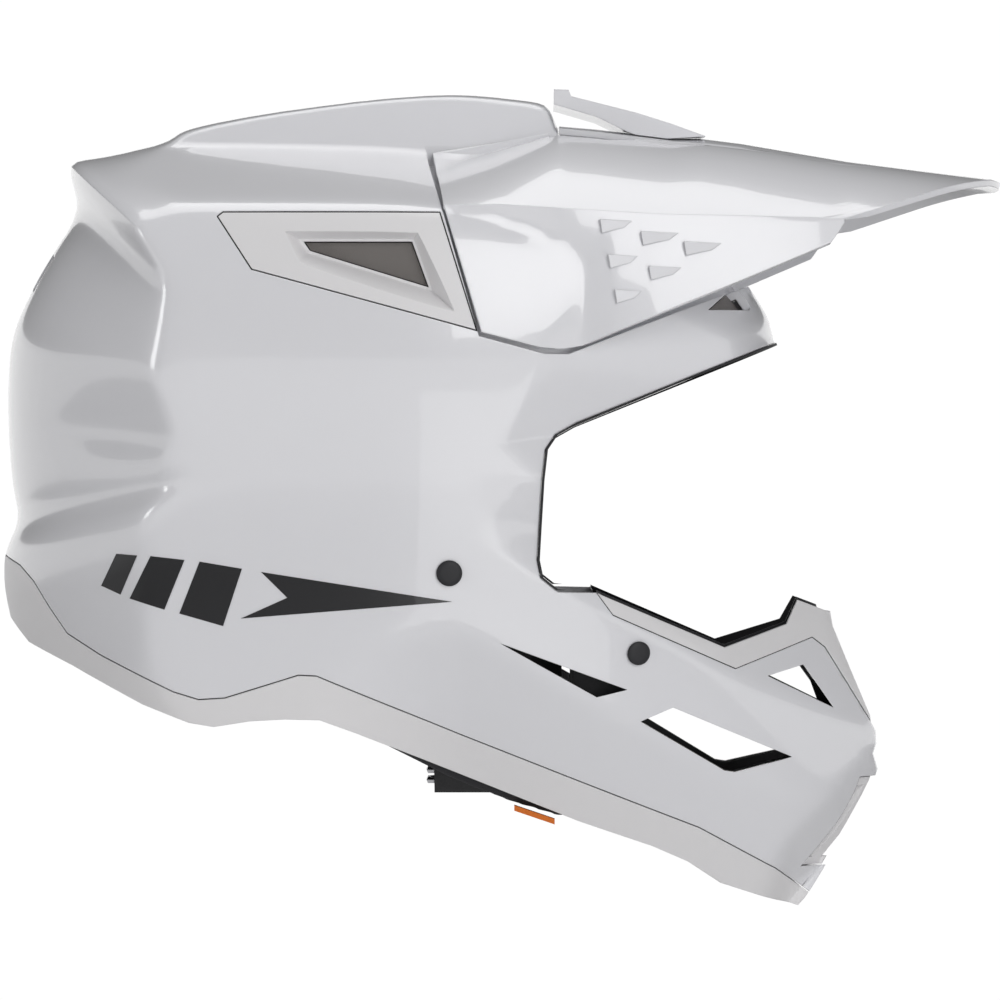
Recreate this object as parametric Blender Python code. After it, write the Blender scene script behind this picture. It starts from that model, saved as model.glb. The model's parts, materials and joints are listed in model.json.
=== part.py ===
"""Motocross helmet. X points forward, Y to the wearer's left, Z up, in metres.

The origin is the crown seat: the inside top of the comfort liner, where a head touches it.
Outlines are drawn in millimetres in the side view (X, Z) and laid on one body surface,
whose half-width at each (X, Z) comes from surface_y().
"""

import math

import bmesh
import bpy
import numpy as np
from mathutils import Matrix, Vector

for old in list(bpy.data.objects):
    bpy.data.objects.remove(old, do_unlink=True)

MM = 0.001
SHELL = 3.0          # moulded shell wall
TRIM_THICK = 5.0     # base trim, which laps behind the shell's lower edge
GAP = 0.4            # clearance between touching pieces
LINER = 9.0          # comfort liner thickness
FAR = 400.0          # beyond the helmet, for cutters

# ---------------------------------------------------------------- the body surface
CENTRE = (0.0, -85.0)        # pole of the side view
HALF_WIDTH = 122.0           # widest point, above the ears
WIDEST = (-20.0, -66.0)
NOSE_REACH = 225.0          # from the widest point to where the chin closes
STEEPEST = 3.0              # limit of the correction for a leaning surface
END_RADIUS = 112.0           # how roundly the rear and the chin close, seen from above
CROWN_RADIUS = 300.0         # how flat the crown ridge is across

SILHOUETTE = [               # the centre line, from the brow over the crown to the chin
    (147.4, -44.0), (146.0, -36.0), (138.0, -23.0), (126.0, -10.0), (106.0, 8.0),
    (82.0, 26.0), (67.0, 33.0), (62.0, 45.2), (55.1, 46.8), (28.5, 49.4), (1.9, 47.9),
    (-24.7, 44.8), (-51.3, 41.0),
    (-76.0, 36.0), (-83.0, 30.8), (-104.5, 25.8), (-118.2, 23.9), (-119.7, 20.5),
    (-115.6, 4.5), (-131.1, -19.4), (-141.7, -41.8), (-143.3, -66.5), (-141.7, -96.9),
    (-138.6, -112.0), (-144.4, -124.5), (-144.4, -139.0), (-138.0, -165.0), (-125.0, -205.0),
    (-80.0, -255.0), (0.0, -290.0), (80.0, -310.0), (130.0, -288.0), (156.5, -259.0),
    (161.5, -253.3), (188.7, -206.5), (184.6, -201.0), (188.1, -194.2), (166.8, -146.7),
    (170.0, -120.0), (162.0, -80.0),
]

SEAM = [                     # where the shell meets the base trim
    (-144.6, -124.3), (-135.8, -128.7), (-130.0, -134.6), (-123.7, -144.2), (-116.7, -153.7),
    (-103.8, -161.3), (-75.9, -174.6), (-66.7, -177.4), (-57.1, -176.8), (-42.9, -172.4),
    (-30.1, -168.4), (-23.5, -168.7), (29.0, -190.7), (117.9, -226.3), (147.3, -242.7),
    (162.5, -254.3),
]
RIM = [                      # the lower edge of the base trim
    (-144.0, -146.0), (-133.0, -157.7), (-115.0, -165.8), (-87.7, -179.6), (-70.4, -186.2),
    (-61.2, -187.7), (-48.0, -185.6), (-35.2, -184.9), (-22.4, -185.2), (-9.5, -190.0),
    (21.7, -202.9), (73.0, -223.8), (100.6, -233.5), (113.8, -239.5), (126.3, -248.0),
    (148.0, -255.5), (158.0, -258.8),
]
EYEPORT = [                  # opening for the eyes, from the brow round the temple to the nose
    (145.5, -47.1), (73.0, -76.0), (65.0, -80.5), (61.3, -86.0), (60.0, -97.2),
    (58.3, -126.5), (59.6, -133.0), (65.0, -137.2), (79.0, -138.6),
]
TRIM_SEAM = [                # where the shell meets the upper chin trim
    (79.0, -138.6), (85.2, -147.0), (131.0, -167.2), (161.0, -156.2), (166.0, -160.0),
    (188.3, -195.4),
]
TRIM_TOP = [(79.0, -138.6), (127.0, -159.2), (151.0, -151.0), (155.6, -142.0), (167.5, -146.5)]

REAR_CREASE = [(-120.0, 30.0), (-105.0, 0.0), (-85.1, -46.0), (-74.4, -83.0)]
REAR_CREASE_LOW = [(-74.4, -83.0), (-89.9, -115.2), (-116.9, -150.5)]
TEMPLE_UP = [(24.0, -60.0), (45.2, -83.7)]
TEMPLE_DOWN = [(45.2, -83.7), (29.8, -117.3)]
CHIN_RIDGE = [(20.0, -112.0), (56.0, -131.5), (80.0, -145.0), (130.0, -170.0), (190.0, -196.0)]
CHEEK_FOLD = [(-30.0, -168.0), (23.9, -149.0), (43.7, -158.0), (84.0, -184.0), (150.0, -214.0)]
CHIN_FACE = [(150.5, -232.0), (183.0, -199.0)]
VISOR_AREA = [               # where the shell is lower, so that the visor lies flush
    (9.3, 60.0), (17.2, 20.4), (36.0, -44.6), (60.0, -51.0), (69.0, -51.0), (80.0, -46.5),
    (135.5, -24.6), (160.0, -14.0), (160.0, 60.0),
]
SHOULDER = [(-130.0, 3.0), (-59.0, 3.6), (21.7, 3.0), (80.0, -9.0), (117.0, -27.0), (160.0, -52.0)]
RIDGE_FOOT = [(-125.0, 14.0), (-87.7, 20.2), (-11.5, 33.3), (30.6, 35.2), (68.0, 27.0),
              (100.0, 10.0), (150.0, -30.0)]


def rounded(points, rounds=3, closed=True):
    """Corner cutting: each round replaces a corner by two points a quarter along its sides."""
    p = np.array(points, float)
    for _ in range(rounds):
        q = np.roll(p, -1, axis=0) if closed else p[1:]
        a = p if closed else p[:-1]
        cut = np.empty((2 * len(a), 2))
        cut[0::2] = 0.8 * a + 0.2 * q
        cut[1::2] = 0.2 * a + 0.8 * q
        p = cut if closed else np.vstack([p[:1], cut, p[-1:]])
    return p


_outline = rounded(SILHOUETTE, 2) - np.array(CENTRE)
_angle = np.arctan2(_outline[:, 1], _outline[:, 0])
_order = np.argsort(_angle)
_angle, _reach = _angle[_order], np.hypot(_outline[:, 0], _outline[:, 1])[_order]
_angle = np.concatenate([_angle - 2 * math.pi, _angle, _angle + 2 * math.pi])
_reach = np.tile(_reach, 3)


def reach(angle):
    """Distance from the pole to the silhouette, in mm, at an angle in the side view."""
    return np.interp(angle, _angle, _reach)


def soft(x, width=2.0):
    """A ramp that is 0 below zero and x above it, with a corner rounded over width."""
    return 0.5 * (x + np.sqrt(x * x + width * width))


def soft_min(a, b, width=3.0):
    return a - soft(a - b, width)


def soft_max(a, b, width=3.0):
    return a + soft(b - a, width)


def beside(line, x, z):
    """Signed distance to the left of the first-to-last line of a polyline, seen along it."""
    (x0, z0), (x1, z1) = line[0], line[-1]
    length = math.hypot(x1 - x0, z1 - z0)
    return ((x1 - x0) * (z - z0) - (z1 - z0) * (x - x0)) / length


def height_over(line, x, z):
    p = rounded(line, 3, closed=False)
    return z - np.interp(x, p[:, 0], p[:, 1])


def fade(value, start, end):
    """Rises smoothly from 0 at start to 1 at end."""
    t = np.clip((value - start) / (end - start), 0, 1)
    return t * t * (3 - 2 * t)


def wide_y(x, z):
    """Half-width of the helmet at a side-view point before the sides close at its outline, in mm."""
    dx, dz = x - WIDEST[0], z - WIDEST[1]
    ahead = np.clip(dx, 0, NOSE_REACH - 1) / NOSE_REACH
    y = HALF_WIDTH * (1 - ahead**2.2) ** 0.64
    y = y - 0.0016 * np.clip(-dx, 0, None) ** 2 * 0.35
    y = y - np.where(dz > 0, 0.0024, 0.0009) * dz * dz
    # temple facet, chin ridge and cheek fold
    y = y - 0.34 * soft(np.minimum(-beside(TEMPLE_UP[::-1], x, z), -beside(TEMPLE_DOWN[::-1], x, z)), 3)
    front = fade(x, 30, 70) * fade(z, -95, -120)
    y = y - 0.50 * front * soft(height_over(CHIN_RIDGE, x, z), 1.5)
    y = y - 1.1 * soft(-beside(CHIN_FACE, x, z), 2) * fade(x, 140, 155)
    y = y - 0.42 * fade(x, -30, 20) * soft(-height_over(CHEEK_FOLD, x, z), 2)
    # the rear facet falls away behind the arrow-shaped crease
    upper = -beside(REAR_CREASE, x, z)
    lower = -beside(REAR_CREASE_LOW, x, z)
    y = y - 1.15 * soft(soft_min(upper, lower, 4), 1.2)
    # the top falls away above the shoulder line, and the crown ridge stands on it
    top = y - 2.6 * soft(height_over(SHOULDER, x, z), 4)
    over = height_over(RIDGE_FOOT, x, z)
    return np.where(over > -14, soft_max(top, 37.0 - 0.45 * over, 2.5), top)


def surface_y(x, z, inset=0.0):
    """Half-width of the helmet at a side-view point, less inset square to the surface, in mm."""
    y = wide_y(x, z)
    slope = np.hypot(wide_y(x + 1, z) - wide_y(x - 1, z), wide_y(x, z + 1) - wide_y(x, z - 1)) / 2
    lean = np.minimum(np.sqrt(1 + slope**2), STEEPEST)
    angle = np.arctan2(z - CENTRE[1], x - CENTRE[0])
    depth = np.clip(reach(angle) - inset - np.hypot(x - CENTRE[0], z - CENTRE[1]), 0, None)
    crown = np.exp(-((np.degrees(angle) - 92) / 38.0) ** 2)
    close = np.sqrt(2 * (END_RADIUS + (CROWN_RADIUS - END_RADIUS) * crown) * depth)
    y = np.clip(y - inset * lean, 1.0, None)
    return np.minimum(soft_min(y, close, 4.0 * np.clip(close / 20, 0, 1)), close)


# ---------------------------------------------------------------- mesh tools
def new_object(name, verts, faces):
    mesh = bpy.data.meshes.new(name)
    mesh.from_pydata([tuple(v) for v in verts], [], faces)
    mesh.update()
    obj = bpy.data.objects.new(name, mesh)
    bpy.context.scene.collection.objects.link(obj)
    return obj


def body_solid(name, inset=0.0, turns=84, rings=20):
    """The closed body, as a polar grid about the pole on each side."""
    angles = np.linspace(-math.pi, math.pi, turns, endpoint=False)
    verts, faces = [], []
    share = np.linspace(0, 1, rings + 1)[1:]
    for side in (1, -1):
        for j, s in enumerate(share):
            if side < 0 and j == rings - 1:
                continue
            r = (reach(angles) - inset) * (1 - (1 - s) ** 1.7)
            x = CENTRE[0] + r * np.cos(angles)
            z = CENTRE[1] + r * np.sin(angles)
            y = surface_y(x, z, inset) if j < rings - 1 else np.zeros(turns)
            verts += [(a * MM, side * b * MM, c * MM) for a, b, c in zip(x, y, z)]
        pole = float(surface_y(np.array(CENTRE[0]), np.array(CENTRE[1]), inset))
        verts.append((CENTRE[0] * MM, side * pole * MM, CENTRE[1] * MM))
    left_pole, first_right = rings * turns, rings * turns + 1
    right_pole = len(verts) - 1

    def at(side, ring, turn):
        turn %= turns
        if side > 0 or ring == rings - 1:
            return ring * turns + turn
        return first_right + ring * turns + turn

    for side, pole in ((1, left_pole), (-1, right_pole)):
        for t in range(turns):
            quad_rows = [(pole, at(side, 0, t), at(side, 0, t + 1))]
            for j in range(rings - 1):
                near, far = at(side, j, t), at(side, j + 1, t)
                quad_rows.append((near, far, at(side, j + 1, t + 1), at(side, j, t + 1)))
            faces += [f[::-1] if side > 0 else f for f in quad_rows]
    return new_object(name, verts, faces)


def prism(name, outline, y0=-FAR, y1=FAR):
    """An outline in the side view, in mm, extruded along Y."""
    area = sum(a[0] * b[1] - b[0] * a[1] for a, b in zip(outline, outline[1:] + outline[:1]))
    loop = list(outline) if area > 0 else list(outline)[::-1]
    n = len(loop)
    verts = [(x * MM, y * MM, z * MM) for y in (y0, y1) for x, z in loop]
    faces = [tuple(range(n)), tuple(range(2 * n - 1, n - 1, -1))]
    faces += [(i, n + i, n + (i + 1) % n, (i + 1) % n) for i in range(n)]
    return new_object(name, verts, faces)


def combine(obj, other, operation, keep_other=False, solver="MANIFOLD"):
    """Applies a Boolean of obj with other, and removes other; the exact solver empties the shell."""
    modifier = obj.modifiers.new(operation, "BOOLEAN")
    modifier.operation, modifier.object, modifier.solver = operation, other, solver
    graph = bpy.context.evaluated_depsgraph_get()
    mesh = bpy.data.meshes.new_from_object(obj.evaluated_get(graph))
    obj.modifiers.clear()
    obj.data = mesh
    if not keep_other:
        bpy.data.objects.remove(other, do_unlink=True)
    return obj


def cut(obj, *others):
    for other in others:
        combine(obj, other, "DIFFERENCE")
    return obj


def keep_inside(obj, other):
    return combine(obj, other, "INTERSECT")


def join(obj, *others):
    for other in others:
        combine(obj, other, "UNION")
    return obj


def keep_largest(obj):
    """Drops the loose slivers that a cut can leave."""
    mesh = bmesh.new()
    mesh.from_mesh(obj.data)
    left, bodies = set(mesh.verts), []
    while left:
        body, queue = set(), [left.pop()]
        while queue:
            vert = queue.pop()
            body.add(vert)
            for edge in vert.link_edges:
                other = edge.other_vert(vert)
                if other in left:
                    left.remove(other)
                    queue.append(other)
        bodies.append(body)
    bodies.sort(key=len)
    bmesh.ops.delete(mesh, geom=[v for body in bodies[:-1] for v in body], context="VERTS")
    mesh.to_mesh(obj.data)
    mesh.free()
    return obj


def material(name, colour, roughness, metallic=0.0):
    found = bpy.data.materials.get(name)
    if not found:
        found = bpy.data.materials.new(name)
        found.use_nodes = True
        shader = found.node_tree.nodes["Principled BSDF"]
        shader.inputs["Base Color"].default_value = (*colour, 1)
        shader.inputs["Roughness"].default_value = roughness
        shader.inputs["Metallic"].default_value = metallic
    return found


GLOSS_WHITE = material("gloss_white", (0.86, 0.86, 0.88), 0.15)
SATIN_WHITE = material("satin_white", (0.84, 0.83, 0.84), 0.4)
BLACK_RUBBER = material("black_rubber", (0.02, 0.02, 0.025), 0.6)
FOAM = material("impact_foam", (0.05, 0.05, 0.055), 0.9)
FABRIC = material("liner_fabric", (0.04, 0.04, 0.045), 0.95)
WEBBING = material("webbing", (0.03, 0.03, 0.03), 0.9)
MESH_GREY = material("vent_mesh", (0.25, 0.24, 0.23), 0.5, 0.6)
STEEL = material("steel", (0.6, 0.6, 0.62), 0.25, 1.0)
ORANGE = material("orange_webbing", (0.85, 0.22, 0.04), 0.8)


def finish(obj, name, look, smooth=35):
    obj.name = name
    obj.data.name = name
    obj.data.materials.clear()
    obj.data.materials.append(look)
    obj.data.shade_smooth()
    obj.data.set_sharp_from_angle(angle=math.radians(smooth))
    return obj


def offset_line(line, dx, dz):
    return [(x + dx, z + dz) for x, z in line]


def below(line, drop=0.0):
    """Side-view outline of everything under a line that runs from the rear to the front."""
    shifted = offset_line(line, 0, -drop)
    return [(-FAR, shifted[0][1]), *shifted, (FAR, shifted[-1][1]), (FAR, -FAR), (-FAR, -FAR)]


def above(line, rise=0.0):
    shifted = offset_line(line, 0, rise)
    return [(-FAR, shifted[0][1]), *shifted, (FAR, shifted[-1][1]), (FAR, FAR), (-FAR, FAR)]


def eyeport_outline(grow=0.0):
    upper = [(FAR, 55.0 + grow), (145.5, -47.1 + grow)]
    temple = [(x - grow, z) for x, z in EYEPORT[1:7]]
    lower = [(x, z - grow) for x, z in EYEPORT[7:] + TRIM_SEAM[1:]]
    return upper + temple + lower + [(FAR, -195.4 - grow - 120.0)]


def both_sides(make):
    """Calls make(side, label) for the wearer's left (+1) and right (-1)."""
    return [make(side, label) for side, label in ((1, "left"), (-1, "right"))]


# ---------------------------------------------------------------- vents in the shell
SLOT_VENT = [(43.7, -157.0), (79.3, -177.1), (90.6, -174.4)]
SIDE_VENT = [(95.5, -186.2), (107.6, -181.1), (152.7, -200.3), (131.0, -205.6), (127.1, -205.0)]
FRONT_VENT = [(143.3, -170.0), (157.4, -166.1), (168.9, -182.4)]
PANEL = [(-60.1, -0.6), (-57.8, 1.2), (21.8, 1.2), (35.5, -42.9), (-47.2, -20.4)]
PANEL_WINDOW = [(-28.3, -9.8), (11.5, -9.8), (17.6, -26.6), (-26.0, -13.2)]
BROW_VENT = [(121.0, -33.9), (133.1, -23.0), (139.5, -28.3), (137.2, -33.4)]
MOUTH_VENT_HALF = 30.0


# ---------------------------------------------------------------- simple solids
def box(name, low, high):
    (x0, y0, z0), (x1, y1, z1) = low, high
    return prism(name, [(x0, z0), (x1, z0), (x1, z1), (x0, z1)], y0, y1)


def plan_prism(name, outline, z0, z1):
    """An outline in the plan view (X, Y), in mm, extruded along Z."""
    obj = prism(name, outline, z0, z1)
    obj.data.transform(Matrix(((1, 0, 0, 0), (0, 0, 1, 0), (0, 1, 0, 0), (0, 0, 0, 1))))
    obj.data.flip_normals()
    return obj


def front_prism(name, outline, x0, x1):
    """An outline in the front view (Y, Z), in mm, extruded along X."""
    obj = prism(name, outline, x0, x1)
    obj.data.transform(Matrix(((0, 1, 0, 0), (1, 0, 0, 0), (0, 0, 1, 0), (0, 0, 0, 1))))
    obj.data.flip_normals()
    return obj


def head_solid(name, grow, bottom, turns=40, rows=9):
    """The space of a head: half an ellipsoid over a straight oval column, larger by grow."""
    a, b, c = HEAD_LENGTH / 2 + grow, HEAD_WIDTH / 2 + grow, HEAD_HEIGHT + grow
    rings = [(math.cos(t), math.sin(t)) for t in np.linspace(0, math.pi / 2, rows + 1)[:-1]]
    rings = [(1.0, None)] + rings
    verts, faces = [], []
    for share, rise in rings:
        z = bottom if rise is None else -HEAD_HEIGHT + c * rise
        for k in range(turns):
            t = 2 * math.pi * k / turns
            verts.append(((HEAD_X + a * share * math.cos(t)) * MM, b * share * math.sin(t) * MM, z * MM))
    verts.append((HEAD_X * MM, 0, (c - HEAD_HEIGHT) * MM))
    last = len(rings) - 1
    for j in range(last):
        for k in range(turns):
            n = (k + 1) % turns
            faces.append((j * turns + k, j * turns + n, (j + 1) * turns + n, (j + 1) * turns + k))
    faces += [(last * turns + k, last * turns + (k + 1) % turns, len(verts) - 1) for k in range(turns)]
    faces.append(tuple(range(turns))[::-1])
    return new_object(name, verts, faces)


def lathe(name, profile, at, axis, turns=20):
    """A closed turned solid: profile is (radius, height) in mm from the axis bottom to its top."""
    verts, faces = [], []
    for r, h in profile:
        for k in range(turns):
            t = 2 * math.pi * k / turns
            verts.append((r * math.cos(t) * MM, r * math.sin(t) * MM, h * MM))
    for j in range(len(profile) - 1):
        for k in range(turns):
            n = (k + 1) % turns
            faces.append((j * turns + k, j * turns + n, (j + 1) * turns + n, (j + 1) * turns + k))
    faces += [tuple(range(turns))[::-1], tuple(range((len(profile) - 1) * turns, len(profile) * turns))]
    obj = new_object(name, verts, faces)
    turn = Vector(axis).normalized().to_track_quat("Z", "Y").to_matrix().to_4x4()
    obj.data.transform(Matrix.Translation(Vector(at) * MM) @ turn)
    return obj


def surface_point(x, z, side, inset=0.0):
    """A point on the body surface and its outward normal."""
    h = 0.5
    y = float(surface_y(np.array(x), np.array(z), inset))
    around_x, around_z = np.array([x + h, x - h, x, x]), np.array([z, z, z + h, z - h])
    ahead, behind, over, under = surface_y(around_x, around_z)
    slope_x, slope_z = float(ahead - behind) / (2 * h), float(over - under) / (2 * h)
    return (x, side * y, z), Vector((-slope_x, side, -slope_z)).normalized()


def ribbon(name, path, width, thick, x_centre):
    """A strap of webbing: a path in the front view (Y, Z), given thickness and width along X."""
    p = [Vector(q) for q in path]
    left, right = [], []
    for i, q in enumerate(p):
        before = (q - p[i - 1]).normalized() if i else (p[1] - q).normalized()
        after = (p[i + 1] - q).normalized() if i < len(p) - 1 else before
        along = (before + after).normalized()
        across = Vector((-along.y, along.x)) * (thick / 2) / max(0.5, along.dot(before))
        left.append(tuple(q + across))
        right.append(tuple(q - across))
    outline = left + right[::-1]
    return front_prism(name, outline, x_centre - width / 2, x_centre + width / 2)


def inner_band(name, inset, thickness, outline, turns=72, rings=16):
    """A skin of the body between two insets, kept inside a side-view outline."""
    band = keep_inside(body_solid(name, inset, turns, rings), prism("keep", outline))
    return cut(band, body_solid("hollow", inset + thickness, turns, rings))


# ---------------------------------------------------------------- head and liners
HEAD_LENGTH, HEAD_WIDTH, HEAD_HEIGHT = 198.0, 158.0, 88.0
HEAD_X = -6.0
PAD_PLAN = [
    (-60, 66), (-60, 98.5), (-20, 96.5), (0, 92.5), (45, 73.5), (70, 64.5), (70, 59), (45, 60),
    (0, 61), (-40, 63),
]
PAD_SIDE = [
    (-60, -124), (50, -124), (54, -137), (66, -146), (70, -224), (45, -216), (24, -207), (-8, -190),
    (-35, -181), (-60, -183),
]
LINER_REGION = [(-FAR, -150), (-100, -150), (-66, -178), (-40, -176), (-20, -176), (55, -206), (55, -120),
                (57.5, -96), (60, -82), (72, -73.5), (146, -44.5), (FAR, 58), (FAR, FAR), (-FAR, FAR)]
NECK_REGION = [
    (-FAR, -151), (-99, -151), (-64.5, -179.5), (-66, -184.5), (-88, -177.8), (-115, -164),
    (-133, -156), (-FAR, -156),
]
MOUTH = [(-18, -209), (18, -209), (14, -243), (-14, -243)]
EXHAUST = [(4, -10), (24, -13), (21, -26), (6, -24)]
MOUTH_X = 135.0
CAPS = {"cheek_cap": ((25.1, -131.2), 4.75), "chin_cap": ((94.5, -160.8), 4.4)}
VISOR_SINK = 4.6
RIDGE_KEPT, VISOR_REAR = 40.0, 66.0
SHELL_GRID = (72, 14)       # turns and rings of the shell's faces


def grown(outline, by):
    """A convex outline moved outwards by a distance."""
    centre = Vector((sum(p[0] for p in outline) / len(outline), sum(p[1] for p in outline) / len(outline)))
    result, n = [], len(outline)
    for i in range(n):
        a, b, c = (Vector(outline[k % n]) for k in (i - 1, i, i + 1))
        n1 = Vector(((b - a).y, -(b - a).x)).normalized()
        n2 = Vector(((c - b).y, -(c - b).x)).normalized()
        n1 = n1 if n1.dot(b - centre) > 0 else -n1
        n2 = n2 if n2.dot(b - centre) > 0 else -n2
        bisector = (n1 + n2).normalized()
        result.append(tuple(b + bisector * by / max(0.35, bisector.dot(n1))))
    return result


def recessed_body(name, inset, extra=0.0):
    """The body with the visor's area lowered; the crown ridge behind the visor keeps its height."""
    area = prism("area", grown(VISOR_AREA, inset))
    half = RIDGE_KEPT - inset
    cut(area, box("ridge", (-40, -half, -90), (VISOR_REAR - 0.5 - inset, half, 90)))
    cut(area, body_solid("floor", inset + VISOR_SINK + extra, *SHELL_GRID))
    return cut(body_solid(name, inset, *SHELL_GRID), area)


def side_prism(name, outline, side, inner=50.0):
    return prism(name, outline, *((inner, FAR) if side > 0 else (-FAR, -inner)))


def make_outer_shell():
    shell = recessed_body("shell", 0)
    cut(shell, prism("lower", below(SEAM)), prism("eyes", eyeport_outline(1.2)))
    cut(shell, recessed_body("hollow", SHELL))
    for side in (1, -1):
        cut(shell, side_prism("panel", PANEL, side), side_prism("slot", SLOT_VENT, side))
        cut(shell, side_prism("vent", SIDE_VENT, side, 30), side_prism("front", FRONT_VENT, side, 18))
        cut(shell, side_prism("brow", BROW_VENT, side, 34))
        cut(shell, front_prism("exhaust", [(side * y, z) for y, z in EXHAUST], -FAR, -80))
        for (x, z), radius in CAPS.values():
            at, normal = surface_point(x, z, side)
            cut(shell, lathe("hole", [(radius - 1.4, -8), (radius - 1.4, 8)], at, normal, 16))
    cut(shell, front_prism("mouth", MOUTH, MOUTH_X, FAR))
    keep_largest(shell)
    return finish(shell, "outer_shell", GLOSS_WHITE)


def make_base_trim():
    outline = [(-FAR, SEAM[0][1] - GAP), *offset_line(SEAM, 0, -GAP), (FAR, SEAM[-1][1] - GAP)]
    outline += [(FAR, RIM[-1][1]), *RIM[::-1], (-FAR, RIM[0][1])]
    trim = inner_band("trim", 0, TRIM_THICK, outline, *SHELL_GRID)
    return finish(trim, "base_trim", SATIN_WHITE)


def make_chin_trim():
    outline = [*TRIM_TOP, (200, -150), (200, -195.0), *offset_line(TRIM_SEAM[::-1], 0.1, GAP)]
    trim = inner_band("trim", 0, 4, outline, 100, 20)
    return finish(trim, "chin_upper_trim", SATIN_WHITE)


def make_nose_guard():
    top = offset_line(TRIM_TOP, 0, 1.0)
    outline = [*top, (176, -146), (176, -158), (150, -158), (127, -168), (84, -150)]
    guard = keep_largest(inner_band("guard", 5.2, 2.2, outline, 72, 14))
    return finish(guard, "nose_guard", BLACK_RUBBER)


def make_gasket():
    upper = [(0, -137.5), (78, -137.5), (140, -60), (FAR, 60), (FAR, FAR), (0, FAR)]
    gasket = keep_inside(body_solid("gasket", -0.6, 100, 20), prism("around", eyeport_outline(1.0)))
    keep_inside(gasket, prism("upper", upper))
    cut(gasket, prism("eyes", eyeport_outline(0)), body_solid("hollow", 4.4, 80, 18))
    return finish(gasket, "eyeport_gasket", BLACK_RUBBER)


def make_impact_liner():
    liner = recessed_body("liner", TRIM_THICK + 2, 1.5)
    keep_inside(liner, prism("region", LINER_REGION))
    cut(liner, head_solid("head", LINER, -300))
    for side in (1, -1):
        plan = [(x, side * y) for x, y in grown(PAD_PLAN, 0.8)]
        cut(liner, plan_prism("pad", plan, -300, -123))
        cut(liner, side_prism("panel", grown(PANEL, 1.2), side, 84))
        cut(liner, front_prism("exhaust", [(side * y, z) for y, z in EXHAUST], -FAR, -100))
        cut(liner, side_prism("brow", grown(BROW_VENT, 0.5), side, 30))
    return finish(liner, "impact_liner", FOAM)


def make_chin_liner():
    outline = [(71.0, -148.0), (84, -151.5), (127, -170), (152, -160), (200, -160), (200, -206), (160, -248),
               (146, -250), (127, -243), (101, -228), (71.0, -217)]
    liner = inner_band("liner", 8.2, 12, outline, 60, 14)
    for side in (1, -1):
        cut(liner, side_prism("vent", SIDE_VENT, side, 5), side_prism("front", FRONT_VENT, side, 5))
    cut(liner, front_prism("mouth", grown(MOUTH, 1.0), 120, FAR))
    return finish(liner, "chin_impact_liner", FOAM)


def make_crown_liner():
    liner = head_solid("liner", LINER - 0.5, -96)
    cut(liner, head_solid("head", 0, -300))
    brow = [(50, -300), (50, -88), (62, -79), (73, -70), (146, -42), (FAR, 60), (FAR, -300)]
    cut(liner, prism("brow", brow))
    return finish(liner, "crown_liner", FABRIC)


def make_neck_roll():
    roll = body_solid("roll", 6.4, 60, 12)
    keep_inside(roll, prism("region", NECK_REGION))
    ahead = [(-64, -FAR), (FAR, -FAR), (FAR, FAR), (-64, FAR)]
    cut(roll, head_solid("head", 2, -300), prism("front", ahead))
    return finish(roll, "neck_roll", FABRIC)


def make_cheek_pads():
    def pad(side, label):
        plan = [(x, side * y) for x, y in PAD_PLAN]
        solid = plan_prism("pad", plan, -300, 0)
        keep_inside(solid, prism("side", PAD_SIDE))
        keep_inside(solid, body_solid("inside", TRIM_THICK + 1, 48, 10))
        return finish(solid, f"cheek_pad_{label}", FABRIC)
    return both_sides(pad)


TAB = {"x": (49.0, 64.0), "y": (62.5, 71.0), "z": -219.0, "thick": 2.0}


def make_release_tabs():
    def tab(side, label):
        x0, x1 = TAB["x"]
        low, high = sorted((side * TAB["y"][0], side * TAB["y"][1]))
        outline = [(x0, -217.8), (x1, -222.9), (x1, -224.9), (x0, -219.8)]
        strip = prism("tab", outline, low, high)
        return finish(strip, f"release_tab_{label}", ORANGE)
    return both_sides(tab)


def make_vent_panels():
    def panel(side, label):
        solid = body_solid("panel", 0.1, 100, 24)
        keep_inside(solid, side_prism("outline", grown(PANEL, -0.45), side, 60))
        cut(solid, body_solid("back", 11, 60, 14))
        cut(solid, side_prism("window", PANEL_WINDOW, side))
        taper = []
        for outline, y in ((grown(PANEL_WINDOW, 1.0), 108.0), (grown(PANEL_WINDOW, 9.0), 123.0)):
            taper += [(x * MM, side * y * MM, z * MM) for x, z in outline]
        n = len(PANEL_WINDOW)
        faces = [tuple(range(n)), tuple(range(2 * n - 1, n - 1, -1))]
        faces += [(i, n + i, n + (i + 1) % n, (i + 1) % n) for i in range(n)]
        well = new_object("well", taper, faces)
        mesh = bmesh.new()
        mesh.from_mesh(well.data)
        bmesh.ops.recalc_face_normals(mesh, faces=mesh.faces)
        mesh.to_mesh(well.data)
        mesh.free()
        cut(solid, well)
        return finish(solid, f"side_vent_panel_{label}", SATIN_WHITE)
    return both_sides(panel)


def plate_in(name, outline, side, y0, y1, look):
    low, high = sorted((side * y0, side * y1))
    return finish(prism(name, outline, low, high), name, look)


def make_vent_meshes():
    for side, label in ((1, "left"), (-1, "right")):
        plate_in(f"side_vent_mesh_{label}", grown(PANEL_WINDOW, -0.4), side, 104.6, 105.6, MESH_GREY)
        brow = body_solid("brow", 4.5, 72, 18)
        keep_inside(brow, side_prism("outline", grown(BROW_VENT, -0.3), side, 34.6))
        cut(brow, body_solid("back", 6.0, 72, 18))
        finish(brow, f"brow_vent_mesh_{label}", MESH_GREY)
        exhaust = body_solid("exhaust", SHELL + 1.0, 72, 18)
        inner = [(side * y, z) for y, z in grown(EXHAUST, -0.4)]
        keep_inside(exhaust, front_prism("outline", inner, -FAR, -101))
        cut(exhaust, body_solid("back", SHELL + 2.6, 72, 18))
        finish(exhaust, f"exhaust_mesh_{label}", MESH_GREY)


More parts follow.
